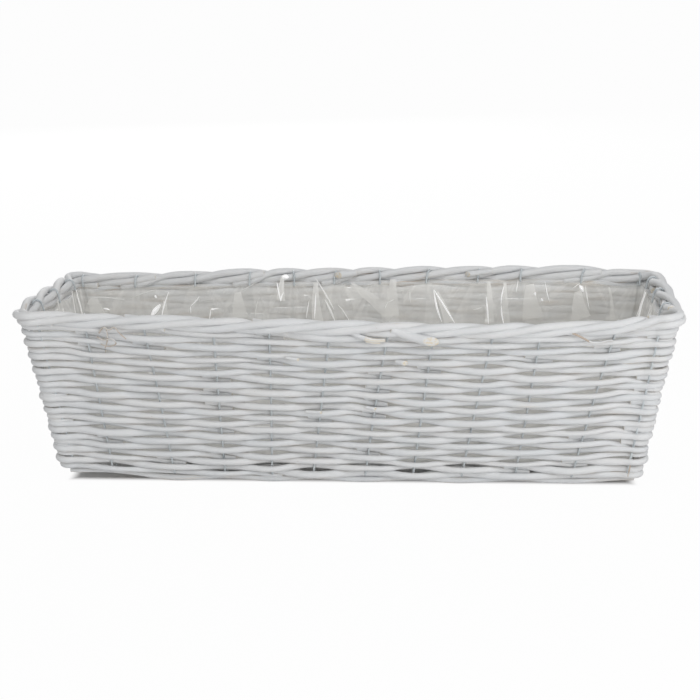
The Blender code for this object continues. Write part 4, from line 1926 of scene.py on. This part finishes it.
@dataclass
class LooseEnds:
    """What sticks out of the weave: cut rod ends, split bits and fibres."""

    form: TroughForm
    view: Viewpoint
    willow: bpy.types.Material
    step: float = 0.0012
    lumps: float = 0.03
    first_seed: int = 3000
    front: tuple[Sprig, ...] = (
        Sprig(((392, 330, 0.0040), (408, 336, 0.0062), (420, 339, 0.0088), (424, 340, 0.0100)),
              0.0038, 0.0044, slant=1.5),
        Sprig(((348, 331, 0.0034), (358, 336, 0.0062), (366, 339, 0.0078)), 0.0022, 0.0022),
        Sprig(((365, 338.5, 0.0080), (374, 341, 0.0080), (385, 340.5, 0.0070)), 0.0024, 0.0016, bare=True),
        Sprig(((366, 341, 0.0080), (374, 343, 0.0082), (380, 343.5, 0.0074)), 0.0016, 0.0007, bare=True),
        Sprig(((396, 361.5, 0.0058), (403, 362.8, 0.0078)), 0.0018, 0.0024, slant=0.8),
        Sprig(((286, 357.5, 0.0060), (297, 359.5, 0.0074)), 0.0014, 0.0016, slant=0.6),
        Sprig(((306, 411.5, 0.0064), (320, 412.5, 0.0078)), 0.0012, 0.0014, slant=0.6),
        Sprig(((366, 407, 0.0062), (374, 409, 0.0076)), 0.0014, 0.0016, slant=0.6),
        Sprig(((570, 332, 0.0060), (581, 337, 0.0080), (590, 342, 0.0082)), 0.0010, 0.0008, cover=0.0),
        Sprig(((589, 341.5, 0.0082), (597, 343.5, 0.0074), (606, 341, 0.0068), (613, 340.5, 0.0062)),
              0.0009, 0.0006),
        Sprig(((99, 333, 0.0066), (103, 326, 0.0086), (109, 331, 0.0096), (114, 326, 0.0090),
               (119, 333, 0.0088), (126, 339, 0.0078)), 0.0007, 0.0005, cover=0.2),
        Sprig(((97, 337, 0.0074), (104, 341, 0.0090), (112, 338, 0.0098), (118, 344, 0.0088),
               (108, 347, 0.0084), (101, 344, 0.0076)), 0.0007, 0.0005, cover=0.2),
        Sprig(((106, 330, 0.0070), (108, 339, 0.0092), (105, 348, 0.0072)), 0.0008, 0.0006, cover=0.4),
        Sprig(((634, 466, 0.0066), (640, 468, 0.0084), (645, 474, 0.0080)), 0.0008, 0.0005, cover=0.3),
        Sprig(((631, 470, 0.0064), (637, 472, 0.0080), (640, 477, 0.0078)), 0.0007, 0.0005, cover=0.5),
    )
    rear: tuple[Sprig, ...] = (
        Sprig(((356, 273, -0.0052), (346, 274.5, -0.0076), (341, 275, -0.0098)), 0.0032, 0.0037, slant=-0.8),
        Sprig(((492, 271.5, -0.0060), (478, 273, -0.0078), (470, 274, -0.0090)), 0.0026, 0.0029, slant=-0.8),
    )

    def skin(self, sprig: Sprig, ways: Pair, seed: int) -> Skin:
        """The skin of one loose end, along a rounded line past its marks.

        Args:
            sprig: the loose end.
            ways: the first and the last wire of its wall.
            seed: picks its unevenness.

        Returns:
            Its skin.
        """
        marks = np.array(sprig.marks)
        way, height = self.view.find(self.form, marks[:, :2], marks[:, 2], ways)
        path = evenly(rounded(self.form.place(way, height, marks[:, 2])), self.step)
        radius = np.linspace(sprig.butt, sprig.tip, len(path))
        finish = {"cover": sprig.cover, "slant": sprig.slant, "bare": sprig.bare}
        return Rod(path, radius, lumps=self.lumps, seed=seed, **finish).skin()

    def build(self) -> None:
        """Makes the loose ends of the front and rear wall, one piece each."""
        form = self.form
        last_front = form.wall_counts[0] - 1
        rear_right = last_front + 1 + form.wall_counts[1]
        front, rear = (0, last_front), (rear_right, rear_right + last_front)
        for name, sprigs, ways in (("front", self.front, front), ("rear", self.rear, rear)):
            skins = [self.skin(sprig, ways, self.first_seed + number) for number, sprig in enumerate(sprigs)]
            piece = make_piece(f"loose_ends_{name}", join_skins(skins), self.willow)


# The studio


@dataclass(frozen=True)
class Lamp:
    """A soft square lamp: where it hangs, its width and its power in watts."""

    name: str
    place: Triple
    size: float
    power: float


@dataclass
class Studio:
    """The floor, the light and the camera."""

    view: Viewpoint
    floor_half: float = 40.0
    sensor_width: float = 36.0
    around: float = 0.44
    backdrop: float = 1.0
    aim: Triple = (0.0, 0.0, 0.1)
    lamps: tuple[Lamp, ...] = (
        Lamp("top", (0.2, -1.1, 2.0), 1.3, 9.0),
        Lamp("front", (1.5, -3.0, 0.5), 1.0, 4.5),
        Lamp("low", (0.3, -2.6, 0.26), 0.5, 6.0),
        Lamp("left", (-1.6, -2.4, 0.8), 1.2, 3.0),
        Lamp("right", (1.0, -0.9, 0.4), 0.5, 3.2),
        Lamp("back", (-0.5, 2.6, 1.0), 1.4, 28.0),
    )

    def add_floor(self) -> None:
        """Puts a wide floor under the trough."""
        half = self.floor_half
        mesh = bpy.data.meshes.new("studio_floor")
        corners = [(-half, -half, 0.0), (half, -half, 0.0), (half, half, 0.0), (-half, half, 0.0)]
        mesh.from_pydata(corners, [], [(0, 1, 2, 3)])
        mesh.materials.append(Floor().build())
        floor = bpy.data.objects.new("studio_floor", mesh)
        bpy.context.scene.collection.objects.link(floor)

    def add_camera(self) -> None:
        """Puts the camera where the photograph was taken."""
        camera = bpy.data.cameras.new("camera")
        camera.sensor_width = self.sensor_width
        camera.lens = self.view.lens_pixels / self.view.frame_pixels * self.sensor_width
        holder = bpy.data.objects.new("camera", camera)
        holder.location = self.view.place
        holder.rotation_euler = self.view.axes().to_euler()
        bpy.context.scene.collection.objects.link(holder)
        bpy.context.scene.camera = holder

    def add_lamp(self, lamp: Lamp) -> None:
        """Puts up a soft square lamp, turned to the trough."""
        light = bpy.data.lights.new(lamp.name, "AREA")
        light.size = lamp.size
        light.energy = lamp.power
        holder = bpy.data.objects.new(lamp.name, light)
        holder.location = lamp.place
        direction = Vector(self.aim) - Vector(lamp.place)
        holder.rotation_euler = direction.to_track_quat("-Z", "Y").to_euler()
        bpy.context.scene.collection.objects.link(holder)

    def add_world(self) -> None:
        """A white background, with a weaker light from all round."""
        world = bpy.data.worlds.new("studio")
        world.use_nodes = True
        bpy.context.scene.world = world
        nodes, link = world.node_tree.nodes, world.node_tree.links.new
        nodes.clear()
        path = nodes.new("ShaderNodeLightPath")
        either = nodes.new("ShaderNodeMath")
        either.use_clamp = True
        mix = nodes.new("ShaderNodeMixShader")
        link(either.outputs[0], mix.inputs[0])
        for number, ray in enumerate(("Is Camera Ray", "Is Transmission Ray")):
            link(path.outputs[ray], either.inputs[number])
        for number, strength in enumerate((self.around, self.backdrop), start=1):
            light = nodes.new("ShaderNodeBackground")
            light.inputs["Color"].default_value = WHITE
            light.inputs["Strength"].default_value = strength
            link(light.outputs[0], mix.inputs[number])
        output = nodes.new("ShaderNodeOutputWorld")
        link(mix.outputs[0], output.inputs["Surface"])

    def build(self) -> None:
        """Sets up the whole studio."""
        self.add_floor()
        self.add_camera()
        self.add_world()
        for lamp in self.lamps:
            self.add_lamp(lamp)
        bpy.context.scene.view_settings.view_transform = "Standard"


def main() -> None:
    """Builds the trough's sub-assemblies in order, then the studio."""
    logging.basicConfig(level=logging.INFO, format="%(name)s: %(message)s")
    form, view = TroughForm(), Viewpoint()
    wall = Willow("wall_willow").build()
    row_heights = Walls(form, wall).build()
    Rim(form, Willow("rim_willow", wear=Rim.wear).build()).build()
    Wires(form, Wire().build(), row_heights).build()
    Base(form, Willow("base_willow").build()).build()
    Liner(form, view, Film().build()).build()
    LooseEnds(form, view, wall).build()
    Studio(view).build()


if __name__ == "__main__":
    main()
